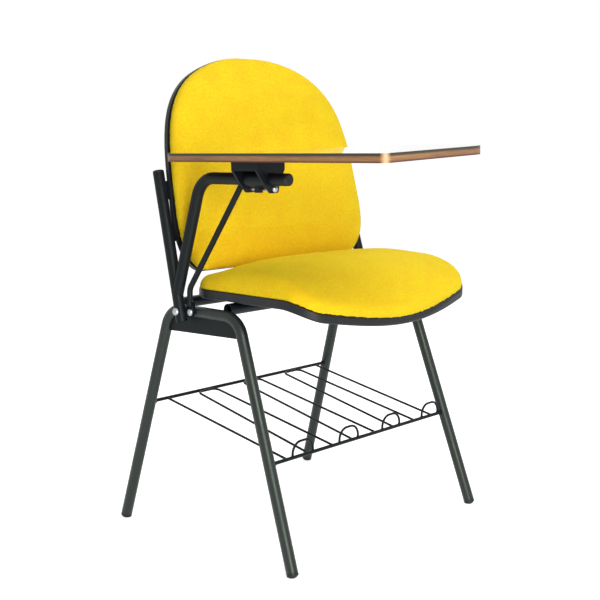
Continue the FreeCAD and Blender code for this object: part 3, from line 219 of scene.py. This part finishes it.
leg_enamel = enamel("black_leg_enamel", 0.4, 0.55)
tube_enamel = enamel("black_tube_enamel", 0.42, 0.2)
wire_enamel = enamel("black_wire_enamel", 0.42, 0.16)
print("enamel", leg_enamel.name, tube_enamel.name, wire_enamel.name)

# %% [markdown]
# ## Moulded plastic
#
# The seat and back shells, the tube caps and the foot plugs are black polypropylene. Its
# mould is spark eroded, which leaves a fine leathery grain. The grain comes from Voronoi
# cells over a finer noise, and dust and rubbing show as pale clouds in the colour.

# %% Plastic finish
GRAIN_SCALE = 1 / (1.1 * MM)
GRAIN_DEPTH = 0.09 * MM


def plastic(name, dark, pale, roughness):
    finish, tree, shader = start_finish(name, Roughness=roughness, Specular_IOR_Level=0.35,
                                        IOR=1.49)
    place = object_coordinates(tree)
    cells = add_node(tree, "ShaderNodeTexVoronoi", {"Vector": place, "Scale": GRAIN_SCALE})
    fine = noise_value(tree, place, 2 * GRAIN_SCALE, 1.0)
    grain = math_node(tree, "MULTIPLY_ADD", fine, 0.4, cells.outputs["Distance"])
    cloud = noise_value(tree, place, CLOUD_SCALE / 2, 4.0, 0.6)
    rubbing_and_highlight = remap(tree, cloud, 0.4, 0.75, 0.0, 1.0)
    tree.links.new(two_tone(tree, rubbing_and_highlight, dark, pale), shader.inputs["Base Color"])
    relief(tree, shader, grain, GRAIN_DEPTH, 0.7)
    return finish


shell_plastic = plastic("black_shell_plastic", linear(14, 16, 22), linear(26, 29, 34), 0.42)
cap_plastic = plastic("black_cap_plastic", linear(13, 15, 17), linear(26, 29, 28), 0.5)
print("plastic", shell_plastic.name, cap_plastic.name)

# %% [markdown]
# ## Yellow upholstery cloth
#
# The cloth is a plain weave of thick yarn in bright yellow, with slightly darker yarns mixed
# in, so it looks flecked from a step away. A weave could be laid on a UV map, but a remeshed
# pad has none. Instead the weave reads the place on the pad, pushed outwards along the
# surface's normal by the depth below the crown. That unfolds the sides, so the yarns follow
# the cloth over the edge instead of stretching down it.
#
# A plain weave is two sets of ridges that take turns on top. The sine of one coordinate
# gives a yarn its round back, and the sign of the product of both sines says which set is
# on top.

# %% Weave
YARN = 1.5 * MM
WEAVE_DEPTH = 0.35 * MM
FLECK_SCALE = 1 / (4.2 * MM)
PATCH_SCALE = FLECK_SCALE / 9
FUZZ_SCALE = 6 * FLECK_SCALE
CLOTH_BRIGHT = linear(251, 219, 10)
CLOTH_DEEP = linear(245, 190, 8)
CLOTH_SHADE = linear(186, 126, 6)
CLOTH_SHEEN = linear(222, 255, 50)


def unfolded_place(tree, lean, crown):
    """Object coordinates turned so that Z leaves the pad's face, and laid out flat."""
    turned = add_node(tree, "ShaderNodeMapping", {"Vector": object_coordinates(tree),
                                                  "Rotation": (lean, 0.0, 0.0)})
    facing = add_node(tree, "ShaderNodeMapping",
                      {"Vector": tree.nodes.new("ShaderNodeNewGeometry").outputs["Normal"],
                       "Rotation": (lean, 0.0, 0.0)})
    facing.vector_type = "NORMAL"
    parts = add_node(tree, "ShaderNodeSeparateXYZ", {0: turned.outputs[0]})
    depth = math_node(tree, "SUBTRACT", crown, parts.outputs["Z"])
    pushed = vector_node(tree, "SCALE", facing.outputs[0], scale=depth)
    return vector_node(tree, "ADD", turned.outputs[0], pushed)


def cloth(name, lean, crown):
    finish, tree, shader = start_finish(name, Roughness=0.88, Sheen_Weight=0.34,
                                        Sheen_Roughness=0.5, IOR=1.4)
    shader.inputs["Sheen Tint"].default_value = CLOTH_SHEEN
    place = unfolded_place(tree, lean, crown)
    parts = add_node(tree, "ShaderNodeSeparateXYZ", {0: place})
    ridges = []
    for axis in ("X", "Y"):
        angle = math_node(tree, "MULTIPLY", parts.outputs[axis], math.pi / YARN)
        ridges.append(math_node(tree, "SINE", angle))
    # Where the sines agree in sign the first set of yarns is on top, elsewhere the second.
    product = math_node(tree, "MULTIPLY", ridges[0], ridges[1])
    over = math_node(tree, "GREATER_THAN", product, 0.0)
    backs = [math_node(tree, "ABSOLUTE", ridge) for ridge in ridges]
    above = math_node(tree, "MULTIPLY", over, backs[0])
    under = math_node(tree, "SUBTRACT", 1.0, over)
    weave = math_node(tree, "MULTIPLY_ADD", under, backs[1], above)
    # Deeper yarns come singly and, more weakly, in patches.
    fleck = noise_value(tree, place, FLECK_SCALE, 3.0, 0.65)
    patch = noise_value(tree, place, PATCH_SCALE, 2.0)
    tone = math_node(tree, "MULTIPLY_ADD", patch, 0.35, fleck)
    tone = remap(tree, tone, 0.5, 0.9, 0.0, 1.0)
    yarn_colour = two_tone(tree, tone, CLOTH_BRIGHT, CLOTH_DEEP)
    # The gaps between yarns are in shade.
    gap = remap(tree, weave, 0.0, 0.55, 0.42, 0.0)
    tree.links.new(two_tone(tree, gap, yarn_colour, CLOTH_SHADE), shader.inputs["Base Color"])
    fuzz = noise_value(tree, place, FUZZ_SCALE, 2.0)
    height = math_node(tree, "MULTIPLY_ADD", fuzz, 0.35, weave)
    relief(tree, shader, height, WEAVE_DEPTH, 0.8)
    return finish


print("weave with a yarn every", YARN / MM, "mm")

# %% [markdown]
# ## Wood laminate, its edge and the board's underside
#
# The tablet is a board with a wood-print laminate on top and a wood band round its edge. A
# wood grain is rings cut lengthwise: a wave whose bands are stretched along the tablet and
# bent by noise, with fine dark pores drawn out the same way. The tablet is tilted, so the
# grain is laid in its own plane: the turn is measured from the laminate's upper face.

# %% Tablet plane


def flat_turn(node_name):
    """The turn that brings a thin plate's upward face level, and its height there."""
    mesh = nodes[node_name].data
    total = Vector()
    for face in mesh.polygons:
        if face.normal.z > 0.9:
            total += face.normal * face.area
    level = total.normalized().rotation_difference(Vector((0.0, 0.0, 1.0)))
    top = max((level @ vertex.co).z for vertex in mesh.vertices)
    return level.to_euler(), top


tablet_turn, tablet_top = flat_turn("tablet_laminate")
band_places = [vertex.co for vertex in nodes["tablet_edge_band"].data.vertices]
front_corner = tablet_turn.to_matrix() @ min(band_places, key=lambda place: place.x + place.y)
print("tablet tilt", [round(math.degrees(a), 2) for a in tablet_turn], "top", round(tablet_top, 4))

# %% Wood finishes
WALNUT_PALE = linear(178, 126, 80)
WALNUT_DARK = linear(110, 68, 40)
BAND_PALE = linear(164, 118, 68)
BAND_DARK = linear(104, 68, 40)
BAND_LINE = linear(40, 38, 26)
BAND_FOOT = linear(84, 34, 24)
# A painted highlight for the band's front corner.
BAND_PAINTED_HIGHLIGHT = linear(216, 172, 124)
CHIP_DARK = linear(122, 84, 54)
CHIP_PALE = linear(166, 124, 82)
# How far the painted highlight on the front corner reaches.
PAINTED_HIGHLIGHT_REACH = 10 * MM
TABLET_THICKNESS = 13 * MM
LINE_FADE = (3.0 * MM, 5.2 * MM)
FOOT_FADE = (TABLET_THICKNESS - 3.0 * MM, TABLET_THICKNESS - 1.4 * MM)
RING_PITCH = 19 * MM
RING_BEND = 26.0
RING_SHARPNESS = 3.0
# How far the patterns of the grain reach across it and along it.
BEND_REACH = (70 * MM, 500 * MM)
SHADE_REACH = (20 * MM, 250 * MM)
PORE_REACH = (0.8 * MM, 35 * MM)
# How much of the tone comes from pores, rings and broad shades.
PORE_SHARE, RING_SHARE, SHADE_SHARE = 0.9, 0.22, 0.5


def tablet_place(tree):
    return add_node(tree, "ShaderNodeMapping", {"Vector": object_coordinates(tree),
                                                "Rotation": tuple(tablet_turn)}).outputs[0]


def drawn_out(tree, place, across, along):
    """Coordinates squeezed so that a pattern is along metres long in Y and across wide."""
    return vector_node(tree, "MULTIPLY", place, (1 / across, 1 / along, 1 / across))


def flattened(tree, place, level, upright):
    """Coordinates squeezed so that a pattern is level metres wide and upright metres high."""
    return vector_node(tree, "MULTIPLY", place, (1 / level, 1 / level, 1 / upright))


def wood(name, pale, dark, roughness, coat):
    finish, tree, shader = start_finish(name, Roughness=roughness, Coat_Weight=coat,
                                        Coat_Roughness=0.05, IOR=1.55)
    place = tablet_place(tree)
    bend = noise_value(tree, drawn_out(tree, place, *BEND_REACH), 1.0, 2.0)
    parts = add_node(tree, "ShaderNodeSeparateXYZ", {0: place})
    rings = math_node(tree, "MULTIPLY", parts.outputs["X"], 2 * math.pi / RING_PITCH)
    rings = math_node(tree, "MULTIPLY_ADD", bend, RING_BEND, rings)
    band = remap(tree, math_node(tree, "SINE", rings), -1.0, 1.0, 0.0, 1.0)
    band = math_node(tree, "POWER", band, RING_SHARPNESS)
    shade = noise_value(tree, drawn_out(tree, place, *SHADE_REACH), 1.0, 2.0)
    pores = noise_value(tree, drawn_out(tree, place, *PORE_REACH), 1.0, 3.0, 0.7)
    tone = math_node(tree, "MULTIPLY", band, RING_SHARE)
    tone = math_node(tree, "MULTIPLY_ADD", pores, PORE_SHARE, tone)
    tone = math_node(tree, "MULTIPLY_ADD", shade, SHADE_SHARE, tone)
    tone = remap(tree, tone, 0.5, 1.05, 0.0, 1.0)
    tree.links.new(two_tone(tree, tone, pale, dark), shader.inputs["Base Color"])
    relief(tree, shader, pores, 0.01 * MM, 0.4)
    return finish


def edge_band(name):
    """Wood strip with the laminate's dark edge above and a darker line along its bottom."""
    finish, tree, shader = start_finish(name, Roughness=0.42, IOR=1.5)
    place = tablet_place(tree)
    parts = add_node(tree, "ShaderNodeSeparateXYZ", {0: place})
    down = math_node(tree, "SUBTRACT", tablet_top, parts.outputs["Z"])
    streaks = noise_value(tree, flattened(tree, place, 30 * MM, 1.1 * MM), 1.0, 3.0, 0.6)
    veins = noise_value(tree, flattened(tree, place, 200 * MM, 4 * MM), 1.0, 2.0)
    tone = remap(tree, math_node(tree, "ADD", streaks, veins), 0.75, 1.3, 0.0, 1.0)
    body = two_tone(tree, tone, BAND_PALE, BAND_DARK)
    upper = remap(tree, down, *LINE_FADE, 1.0, 0.0)
    lower = remap(tree, down, *FOOT_FADE, 0.0, 1.0)
    topped = two_tone(tree, upper, body, BAND_LINE)
    lined = two_tone(tree, lower, topped, BAND_FOOT)
    # The front corner gets a painted highlight: a pale, uneven patch.
    away = vector_node(tree, "SUBTRACT", place, front_corner)
    away = vector_node(tree, "MULTIPLY", away, (1.0, 1.0, 0.0))
    distance = vector_node(tree, "LENGTH", away)
    reach = math_node(tree, "MULTIPLY_ADD", streaks, 0.5 * PAINTED_HIGHLIGHT_REACH, distance)
    rubbing_and_highlight = remap(tree, reach, 0.45 * PAINTED_HIGHLIGHT_REACH, 1.1 * PAINTED_HIGHLIGHT_REACH, 0.85, 0.0)
    tree.links.new(two_tone(tree, rubbing_and_highlight, lined, BAND_PAINTED_HIGHLIGHT), shader.inputs["Base Color"])
    relief(tree, shader, streaks, 0.08 * MM, 0.5)
    return finish


def particle_board(name):
    """Pressed chips under the tablet, sealed with a thin brown coat."""
    finish, tree, shader = start_finish(name, Roughness=0.62, IOR=1.45)
    place = object_coordinates(tree)
    chips = add_node(tree, "ShaderNodeTexVoronoi", {"Vector": place, "Scale": 1 / (3.4 * MM)})
    tone = add_node(tree, "ShaderNodeSeparateColor", {0: chips.outputs["Color"]}).outputs[0]
    dust = noise_value(tree, place, 1 / (12 * MM), 3.0)
    mixed = math_node(tree, "MULTIPLY", tone, dust)
    mixed = remap(tree, mixed, 0.1, 0.5, 0.0, 1.0)
    colour = two_tone(tree, mixed, CHIP_DARK, CHIP_PALE)
    tree.links.new(colour, shader.inputs["Base Color"])
    relief(tree, shader, chips.outputs["Distance"], 0.12 * MM, 0.5)
    return finish


laminate_finish = wood("walnut_laminate", WALNUT_PALE, WALNUT_DARK, 0.16, 1.0)
band_finish = edge_band("walnut_edge_band")
board_finish = particle_board("sealed_chip_board")
print("wood", laminate_finish.name, band_finish.name, board_finish.name)

# %% [markdown]
# ## Zinc plated hardware
#
# Bolts, nuts, screws and the stop pin are bright zinc: a metal, a little blue, whose fine
# turning marks and tumbling scratches blur what it mirrors.

# %% Zinc finish
ZINC_DULL = linear(150, 152, 158)
ZINC_BRIGHT = linear(196, 196, 200)


def zinc(name):
    finish, tree, shader = start_finish(name, Metallic=1.0)
    place = object_coordinates(tree)
    drawn = vector_node(tree, "MULTIPLY", place, (1.0, 9.0, 1.0))
    scratch = noise_value(tree, drawn, 1 / (1.6 * MM), 3.0)
    cloud = noise_value(tree, place, 1 / (6 * MM), 2.0)
    colour = two_tone(tree, cloud, ZINC_DULL, ZINC_BRIGHT)
    tree.links.new(colour, shader.inputs["Base Color"])
    gloss = remap(tree, scratch, NOISE_LOW, NOISE_HIGH, 0.24, 0.46)
    tree.links.new(gloss, shader.inputs["Roughness"])
    relief(tree, shader, scratch, 0.02 * MM, 0.5)
    return finish


zinc_finish = zinc("bright_zinc")
print("zinc", zinc_finish.name)

# %% [markdown]
# ## Dress the solids
#
# A finished solid keeps its mesh and only gets a material in its slot. The names say what a
# piece is, so one table of how names start covers them all. What isn't in it is a tube or a
# plate of the frame, or the tablet's bracket, and all of those are enamelled.

# %% Finishes by piece
FINISHES = [
    (cap_plastic, ("right_upright_cap", "left_upright_cap", "arm_end_cap")),
    (shell_plastic, ("seat_shell", "back_shell")),
    (leg_enamel, ("right_leg_frame", "left_leg_frame")),
    (wire_enamel, ("rack_",)),
    (laminate_finish, ("tablet_laminate",)),
    (band_finish, ("tablet_edge_band",)),
    (board_finish, ("tablet_board",)),
    (zinc_finish, ("tablet_screws", "stop_pin", "stop_nut", "frame_bolts", "frame_nuts",
                   "seat_screws", "back_screws")),
]
PADS = ("seat_pad", "back_pad")


def finish_for(name):
    if name.endswith("foot_plug"):
        return cap_plastic
    for finish, starts in FINISHES:
        if name.startswith(starts):
            return finish
    return tube_enamel


dressed = [name for name in nodes if name not in PADS]
for name in dressed:
    for material_slot in nodes[name].material_slots:
        material_slot.material = finish_for(name)
print("dressed", len(dressed), "solids")

# %% [markdown]
# ## The stuffed pads
#
# Each pad is moulded foam in a cloth cover, pulled tight round the edge and stapled between
# foam and shell. The solid pad has the right outline, so the cushion starts as a copy of it,
# merged and remeshed into even squares of a few millimetres. That remesh blunts the edge
# where the sides meet the shell and leaves steps along it. So all points are put back on the
# solid's surface, those beside the line of contact go onto that line, and the band beside it
# is smoothed.
#
# The points on the shell are held. The rest is drawn in a little and blown up again by a
# cloth simulation with air pressure. Cloth that is pressed out of its plane also buckles in
# long ripples, which a stuffed pad doesn't have. So only each point's rise along its normal
# is kept, capped, and evened out with its neighbours'. At the end the pull of the staples is
# pressed in as shallow puckers above the edge.

# %% Pad helpers
VOXEL = 4.0 * MM
LINE_STEP = 1.0 * MM
# Half the diagonal of a remeshed square and a little more, so that no square skips the line.
SNAP_REACH = 2.9 * MM
MERGE_REACH = 0.3 * VOXEL
EDGE_REACH = 9 * MM
EDGE_ROUNDS = 4
TOUCH = 0.6 * MM
DRAW_IN = 1.0 * MM
FREE_REACH = 9 * MM
SWELL_CAP = 9.0 * MM
EVENING_ROUNDS = 50
AIR_PRESSURE = 4.0
SIM_FRAMES = 20
PUCKER_DEPTH = 0.5 * MM
PUCKER_REACH = 26 * MM
PUCKER_PITCH = 11 * MM


def new_piece(name, mesh_maker):
    """An object at the origin whose mesh is filled by mesh_maker(bm)."""
    mesh = bpy.data.meshes.new(name)
    bm = bmesh.new()
    mesh_maker(bm)
    bm.to_mesh(mesh)
    bm.free()
    for face in mesh.polygons:
        face.use_smooth = True
    piece = bpy.data.objects.new(name, mesh)
    bpy.context.scene.collection.objects.link(piece)
    return piece


def apply_modifier(piece, kind, **settings):
    """Adds a modifier with these settings and applies it to the piece's mesh."""
    modifier = piece.modifiers.new("shaping", kind)
    for name, value in settings.items():
        setattr(modifier, name, value)
    with bpy.context.temp_override(object=piece, active_object=piece, selected_objects=[piece]):
        bpy.ops.object.modifier_apply(modifier=modifier.name)


def copy_of_solid(name, node_name):
    """A copy of a solid's mesh with its faces joined, as a piece of its own."""
    source = nodes[node_name].data

    def make(bm):
        bm.from_mesh(source)
        bmesh.ops.remove_doubles(bm, verts=bm.verts, dist=0.01 * MM)
        bmesh.ops.recalc_face_normals(bm, faces=bm.faces)

    return new_piece(name, make)


def surface_of(mesh):
    """A search tree that finds the nearest place on a mesh."""
    return BVHTree.FromPolygons([vertex.co for vertex in mesh.vertices],
                                [tuple(face.vertices) for face in mesh.polygons])


def contact_line(piece, shell):
    """A search tree of points, a millimetre apart, where the pad's face leaves the shell."""
    bm = bmesh.new()
    bm.from_mesh(piece.data)
    touching = {face for face in bm.faces
                if shell.find_nearest(face.calc_center_median())[3] < TOUCH}
    places = []
    for edge in bm.edges:
        if len([face for face in edge.link_faces if face in touching]) == 1:
            start, end = (vertex.co for vertex in edge.verts)
            steps = max(1, round((end - start).length / LINE_STEP))
            places += [start.lerp(end, number / steps) for number in range(steps)]
    bm.free()
    tree = KDTree(len(places))
    for number, place in enumerate(places):
        tree.insert(place, number)
    tree.balance()
    print(piece.name, "leaves its shell along", round(len(places) * LINE_STEP, 2), "m")
    return tree


def put_back(piece, surface, line):
    """Puts points back on the solid or the line, and smooths the band beside the line."""
    bm = bmesh.new()
    bm.from_mesh(piece.data)
    for vertex in bm.verts:
        place, _, distance = line.find(vertex.co)
        vertex.co = place if distance < SNAP_REACH else surface.find_nearest(vertex.co)[0]
    bmesh.ops.remove_doubles(bm, verts=bm.verts, dist=MERGE_REACH)
    edge = [vertex for vertex in bm.verts if 0.1 * MM < line.find(vertex.co)[2] < EDGE_REACH]
    for _ in range(EDGE_ROUNDS):
        bmesh.ops.smooth_vert(bm, verts=edge, factor=0.5,
                              use_axis_x=True, use_axis_y=True, use_axis_z=True)
    bmesh.ops.recalc_face_normals(bm, faces=bm.faces)
    bm.to_mesh(piece.data)
    bm.free()
    for face in piece.data.polygons:
        face.use_smooth = True


def freedom(piece, line, shell):
    """For each point, 0 on the shell and on the line, rising to 1 away from them."""
    shares = []
    for vertex in piece.data.vertices:
        touching = shell.find_nearest(vertex.co)[3] < TOUCH
        away = line.find(vertex.co)[2]
        shares.append(0.0 if touching else min(1.0, away / FREE_REACH))
    return np.array(shares)


def evened(values, mesh, fixed, rounds):
    """Averages each point's value with its neighbours' again and again; fixed ones stay 0."""
    ends = np.empty(len(mesh.edges) * 2, dtype=np.int32)
    mesh.edges.foreach_get("vertices", ends)
    first, second = ends[0::2], ends[1::2]
    count = np.bincount(ends, minlength=len(values))
    for _ in range(rounds):
        total = np.bincount(first, weights=values[second], minlength=len(values))
        total += np.bincount(second, weights=values[first], minlength=len(values))
        values = 0.5 * values + 0.5 * total / count
        values[fixed] = 0.0
    return values


def move_along_normals(piece, heights):
    normals = [vertex.normal.copy() for vertex in piece.data.vertices]
    for vertex, normal, height in zip(piece.data.vertices, normals, heights):
        vertex.co += normal * float(height)


def swell(piece, free):
    """Blows the pad up as cloth, and gives each point an evened, capped part of its rise."""
    group = piece.vertex_groups.new(name="held")
    for index, share in enumerate(free):
        group.add([index], 1.0 if share == 0 else 0.0, "REPLACE")
    cloth_modifier = piece.modifiers.new("filling", "CLOTH")
    settings = cloth_modifier.settings
    settings.vertex_group_mass = group.name
    settings.use_pressure = True
    settings.uniform_pressure_force = AIR_PRESSURE
    settings.effector_weights.gravity = 0.0
    cloth_modifier.collision_settings.use_collision = False
    scene = bpy.context.scene
    for number in range(1, SIM_FRAMES + 1):
        scene.frame_set(number)
    blown = piece.evaluated_get(bpy.context.evaluated_depsgraph_get()).data
    rise = np.array([(after.co - before.co).dot(before.normal)
                     for before, after in zip(piece.data.vertices, blown.vertices)])
    piece.modifiers.remove(cloth_modifier)
    scene.frame_set(1)
    rise = np.clip(rise, 0.0, SWELL_CAP) * free
    rise = evened(rise, piece.data, free == 0, EVENING_ROUNDS)
    move_along_normals(piece, rise)
    piece.vertex_groups.clear()
    return rise


def pucker(piece, free, line, shell_direction):
    """Presses shallow dents into the sides, deepest just above the tucked edge."""
    dents = []
    for vertex, share in zip(piece.data.vertices, free):
        side = 1 - abs(vertex.normal.dot(shell_direction))
        reach = max(0.0, 1 - line.find(vertex.co)[2] / PUCKER_REACH)
        along = vertex.co - vertex.co.dot(shell_direction) * shell_direction
        dents.append(-PUCKER_DEPTH * side * reach * share * abs(noise.noise(along / PUCKER_PITCH)))
    move_along_normals(piece, dents)


def make_cushion(name, node_name, shell_name, shell_direction, finish):
    """The stuffed pad that stands for the solid node_name, held on the shell."""
    cushion = copy_of_solid(name, node_name)
    shell = surface_of(nodes[shell_name].data)
    surface = surface_of(cushion.data)
    line = contact_line(cushion, shell)
    apply_modifier(cushion, "REMESH", mode="VOXEL", voxel_size=VOXEL, use_smooth_shade=True)
    put_back(cushion, surface, line)
    free = freedom(cushion, line, shell)
    held = int((free == 0).sum())
    print(name, "has", held, "held points of", len(free), "before subdivision")
    move_along_normals(cushion, -DRAW_IN * free)
    rise = swell(cushion, free) / MM
    print(name, "rises", round(rise.mean(), 1), "mm, at most", round(rise.max(), 1))
    pucker(cushion, free, line, shell_direction)
    finishing = cushion.modifiers.new("rounding", "SUBSURF")
    finishing.levels = 1
    finishing.render_levels = 1
    cushion.data.materials.clear()
    cushion.data.materials.append(finish)
    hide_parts(node_name)
    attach(cushion, "chair_frame")


print("pads in squares of", VOXEL / MM, "mm")

# %% Seat and back cushions
DOWN = Vector((0.0, 0.0, -1.0))
BACK_LEAN = math.radians(11.87)
REARWARD = Vector((0.0, math.cos(BACK_LEAN), -math.sin(BACK_LEAN)))

seat_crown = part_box("seat_pad")[1].z
seat_cloth = cloth("yellow_seat_cloth", 0.0, seat_crown)
make_cushion("seat_cushion", "seat_pad", "seat_shell", DOWN, seat_cloth)

back_turn = -(math.pi / 2 - BACK_LEAN)
back_crown = max(-vertex.co.dot(REARWARD) for vertex in nodes["back_pad"].data.vertices)
back_cloth = cloth("yellow_back_cloth", back_turn, back_crown)
make_cushion("back_cushion", "back_pad", "back_shell", REARWARD, back_cloth)

# %% [markdown]
# ## Weld beads
#
# Tubes and wires are welded, and a weld leaves a ring of small overlapping lumps where one
# piece meets the next. Each lump is a flattened ball. A ring of them, each turned a little
# from the last, reads as a bead, and one lump is enough where a thin wire meets a bar.

# %% Weld helpers
UP = Vector((0.0, 0.0, 1.0))
SIDEWAYS = Vector((1.0, 0.0, 0.0))
BEAD = 1.7 * MM
BEAD_STEP = 1.25 * BEAD
WANDER = 0.12
TUBE_RADIUS = 19.05 / 2 * MM
TUBE_RING = round(2 * math.pi * TUBE_RADIUS / BEAD_STEP)
TOP_OF_RAIL = 0.97


def lump(bm, centre, size, squash_axis=UP, squash=0.7):
    """A ball of that radius, flattened or drawn out along squash_axis."""
    turn_to = squash_axis.to_track_quat("Z", "Y").to_matrix().to_4x4()
    stretch = Matrix.Diagonal((1.0, 1.0, squash, 1.0))
    place = Matrix.Translation(centre) @ turn_to @ stretch
    bmesh.ops.create_icosphere(bm, subdivisions=2, radius=size, matrix=place)


def uneven(number):
    """A bead's radius, a little larger or smaller from one to the next."""
    return BEAD * (1 + WANDER * math.sin(5.3 * number))


def bead_ring(bm, centre, axis, radius):
    """Lumps round a bar of that radius whose axis points along axis."""
    count = max(8, round(2 * math.pi * radius / BEAD_STEP))
    side = axis.orthogonal().normalized()
    for number in range(count):
        spin = Matrix.Rotation(2 * math.pi * number / count, 3, axis)
        lump(bm, centre + spin @ side * radius, uneven(number), axis)


def seam_lumps(bm, centre, rail_x, rail_z, inward):
    """Lumps where a crossbar along X sits in its cope on a rail, below the rail's top."""
    for number in range(TUBE_RING):
        angle = 2 * math.pi * number / TUBE_RING
        y = centre.y + TUBE_RADIUS * math.cos(angle)
        z = centre.z + TUBE_RADIUS * math.sin(angle)
        height = (z - rail_z) / TUBE_RADIUS
        if abs(height) < TOP_OF_RAIL:
            x = rail_x + inward * TUBE_RADIUS * math.sqrt(1 - height ** 2)
            lump(bm, Vector((x, y, z)), uneven(number))


def middle_of(node_name):
    low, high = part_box(node_name)
    return (low + high) / 2


print("weld beads of", round(BEAD / MM, 1), "mm,", TUBE_RING, "round a tube")

# %% Welds of the frame and the rack
WIRE_RADIUS = 2.0 * MM
WIRE_LUMP = 1.35 * WIRE_RADIUS
BEND_LUMP = 1.2 * WIRE_RADIUS
BEND_STRETCH = 1.6
BEND_INSET = 20 * MM
BEND_SPREAD = 6 * MM
BAR_INSET = 2 * MM


def frame_welds(bm):
    for bar in ("front_crossbar", "rear_crossbar"):
        for rail, inward in (("right_leg_frame", 1), ("left_leg_frame", -1)):
            rail_low, rail_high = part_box(rail)
            rail_z = rail_high.z - TUBE_RADIUS
            inner_x = rail_high.x if inward > 0 else rail_low.x
            seam_lumps(bm, middle_of(bar), inner_x - inward * TUBE_RADIUS, rail_z, inward)
    for bar in ("rack_rear_bar", "rack_front_bar"):
        low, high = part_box(bar)
        centre = middle_of(bar)
        for x in (low.x + BAR_INSET, high.x - BAR_INSET):
            bead_ring(bm, Vector((x, centre.y, centre.z)), SIDEWAYS, (high.z - low.z) / 2)


def rack_welds(bm):
    rear = middle_of("rack_rear_bar")
    front = middle_of("rack_front_bar")
    run = (front - rear).normalized()
    bar_low, bar_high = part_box("rack_front_bar")
    bar_radius = (bar_high.z - bar_low.z) / 2

    def at_rear(x):
        return Vector((x, rear.y, rear.z)) + run * bar_radius

    def at_front(x):
        return Vector((x, front.y, front.z)) - run * bar_radius

    for name in nodes:
        low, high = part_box(name)
        both_legs = (low.x + WIRE_RADIUS, high.x - WIRE_RADIUS)
        if name in ("rack_right_slat", "rack_left_slat"):
            middle = (low.x + high.x) / 2
            lump(bm, at_rear(middle), WIRE_LUMP)
            lump(bm, at_front(middle), WIRE_LUMP)
        elif name.startswith("rack_hairpin"):
            for x in both_legs:
                lump(bm, at_front(x), WIRE_LUMP)
            for shift in (-BEND_SPREAD, BEND_SPREAD):
                x = high.x - BEND_INSET + shift
                lump(bm, at_rear(x), BEND_LUMP, SIDEWAYS, BEND_STRETCH)
        elif name.startswith("rack_hoop"):
            for x in both_legs:
                lump(bm, Vector((x, front.y, front.z + bar_radius)), WIRE_LUMP)


def finish_welds(name, maker, finish):
    beads = new_piece(name, maker)
    beads.data.materials.append(finish)
    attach(beads, "chair_frame")
    print(name, len(beads.data.vertices), "points")


finish_welds("frame_weld_beads", frame_welds, tube_enamel)
finish_welds("rack_weld_beads", rack_welds, wire_enamel)

# %% [markdown]
# ## Floor, background and light
#
# The picture has a white ground. The floor and the world are white to the camera and to
# reflections, by a glow that only those rays see. The light on the chair comes from the
# world at a plain level and from three large soft lamps, which also draw the long streaks
# on the tubes. The floor keeps its shade under the chair, because its glow is only what it
# lacks to be white.

# %% Floor
FLOOR_HALF = 30.0
FLOOR_GLOW = 0.62
FLOOR_WHITE = (0.9, 0.9, 0.9, 1.0)
WHITE = (1.0, 1.0, 1.0, 1.0)


def seen_directly(tree):
    """1 for rays of the camera, of reflections and through clear pieces, 0 for the rest."""
    path = tree.nodes.new("ShaderNodeLightPath")
    seen = math_node(tree, "ADD", path.outputs["Is Camera Ray"], path.outputs["Is Glossy Ray"])
    seen = math_node(tree, "ADD", seen, path.outputs["Is Transmission Ray"])
    return math_node(tree, "MINIMUM", seen, 1.0)


def floor_plane(bm):
    bmesh.ops.create_grid(bm, x_segments=1, y_segments=1, size=FLOOR_HALF)


floor = new_piece("studio_floor", floor_plane)
floor_finish, floor_tree, floor_shader = start_finish("white_floor", Roughness=0.9)
floor_shader.inputs["Base Color"].default_value = FLOOR_WHITE
floor_shader.inputs["Emission Color"].default_value = WHITE
glow = math_node(floor_tree, "MULTIPLY", seen_directly(floor_tree), FLOOR_GLOW)
floor_tree.links.new(glow, floor_shader.inputs["Emission Strength"])
floor.data.materials.append(floor_finish)
print("floor", 2 * FLOOR_HALF, "m wide")

# %% World and lamps
WORLD_LIGHT = 0.42

world = bpy.data.worlds.new("white_room")
bpy.context.scene.world = world
world.use_nodes = True
world_tree = world.node_tree
backdrop = world_tree.nodes["Background"]
backdrop.inputs["Color"].default_value = WHITE
seen = seen_directly(world_tree)
strength = math_node(world_tree, "MULTIPLY_ADD", seen, 1.0 - WORLD_LIGHT, WORLD_LIGHT)
world_tree.links.new(strength, backdrop.inputs["Strength"])

AIM = Vector((0.0, 0.0, 0.45))


def soft_lamp(name, place, size, watts):
    """A rectangular lamp that is aimed at the chair and isn't seen by the camera."""
    lamp_data = bpy.data.lights.new(name, "AREA")
    lamp_data.shape = "RECTANGLE"
    lamp_data.size = size[0]
    lamp_data.size_y = size[1]
    lamp_data.energy = watts
    lamp = bpy.data.objects.new(name, lamp_data)
    lamp.location = place
    lamp.visible_camera = False
    lamp.rotation_euler = (AIM - Vector(place)).to_track_quat("-Z", "Y").to_euler()
    bpy.context.scene.collection.objects.link(lamp)


soft_lamp("key_lamp", (-1.1, -1.75, 0.8), (0.85, 1.2), 32)
soft_lamp("top_lamp", (-0.1, -0.5, 2.5), (1.6, 1.6), 21)
soft_lamp("rear_lamp", (1.5, 1.7, 1.6), (1.0, 1.2), 12)
print("lamps", [lamp.name for lamp in bpy.data.lights])

# %% [markdown]
# ## Colour handling and finish
#
# Colours should come out as they are written, so the view transform is Standard.

# %% Close
bpy.context.scene.view_settings.view_transform = "Standard"
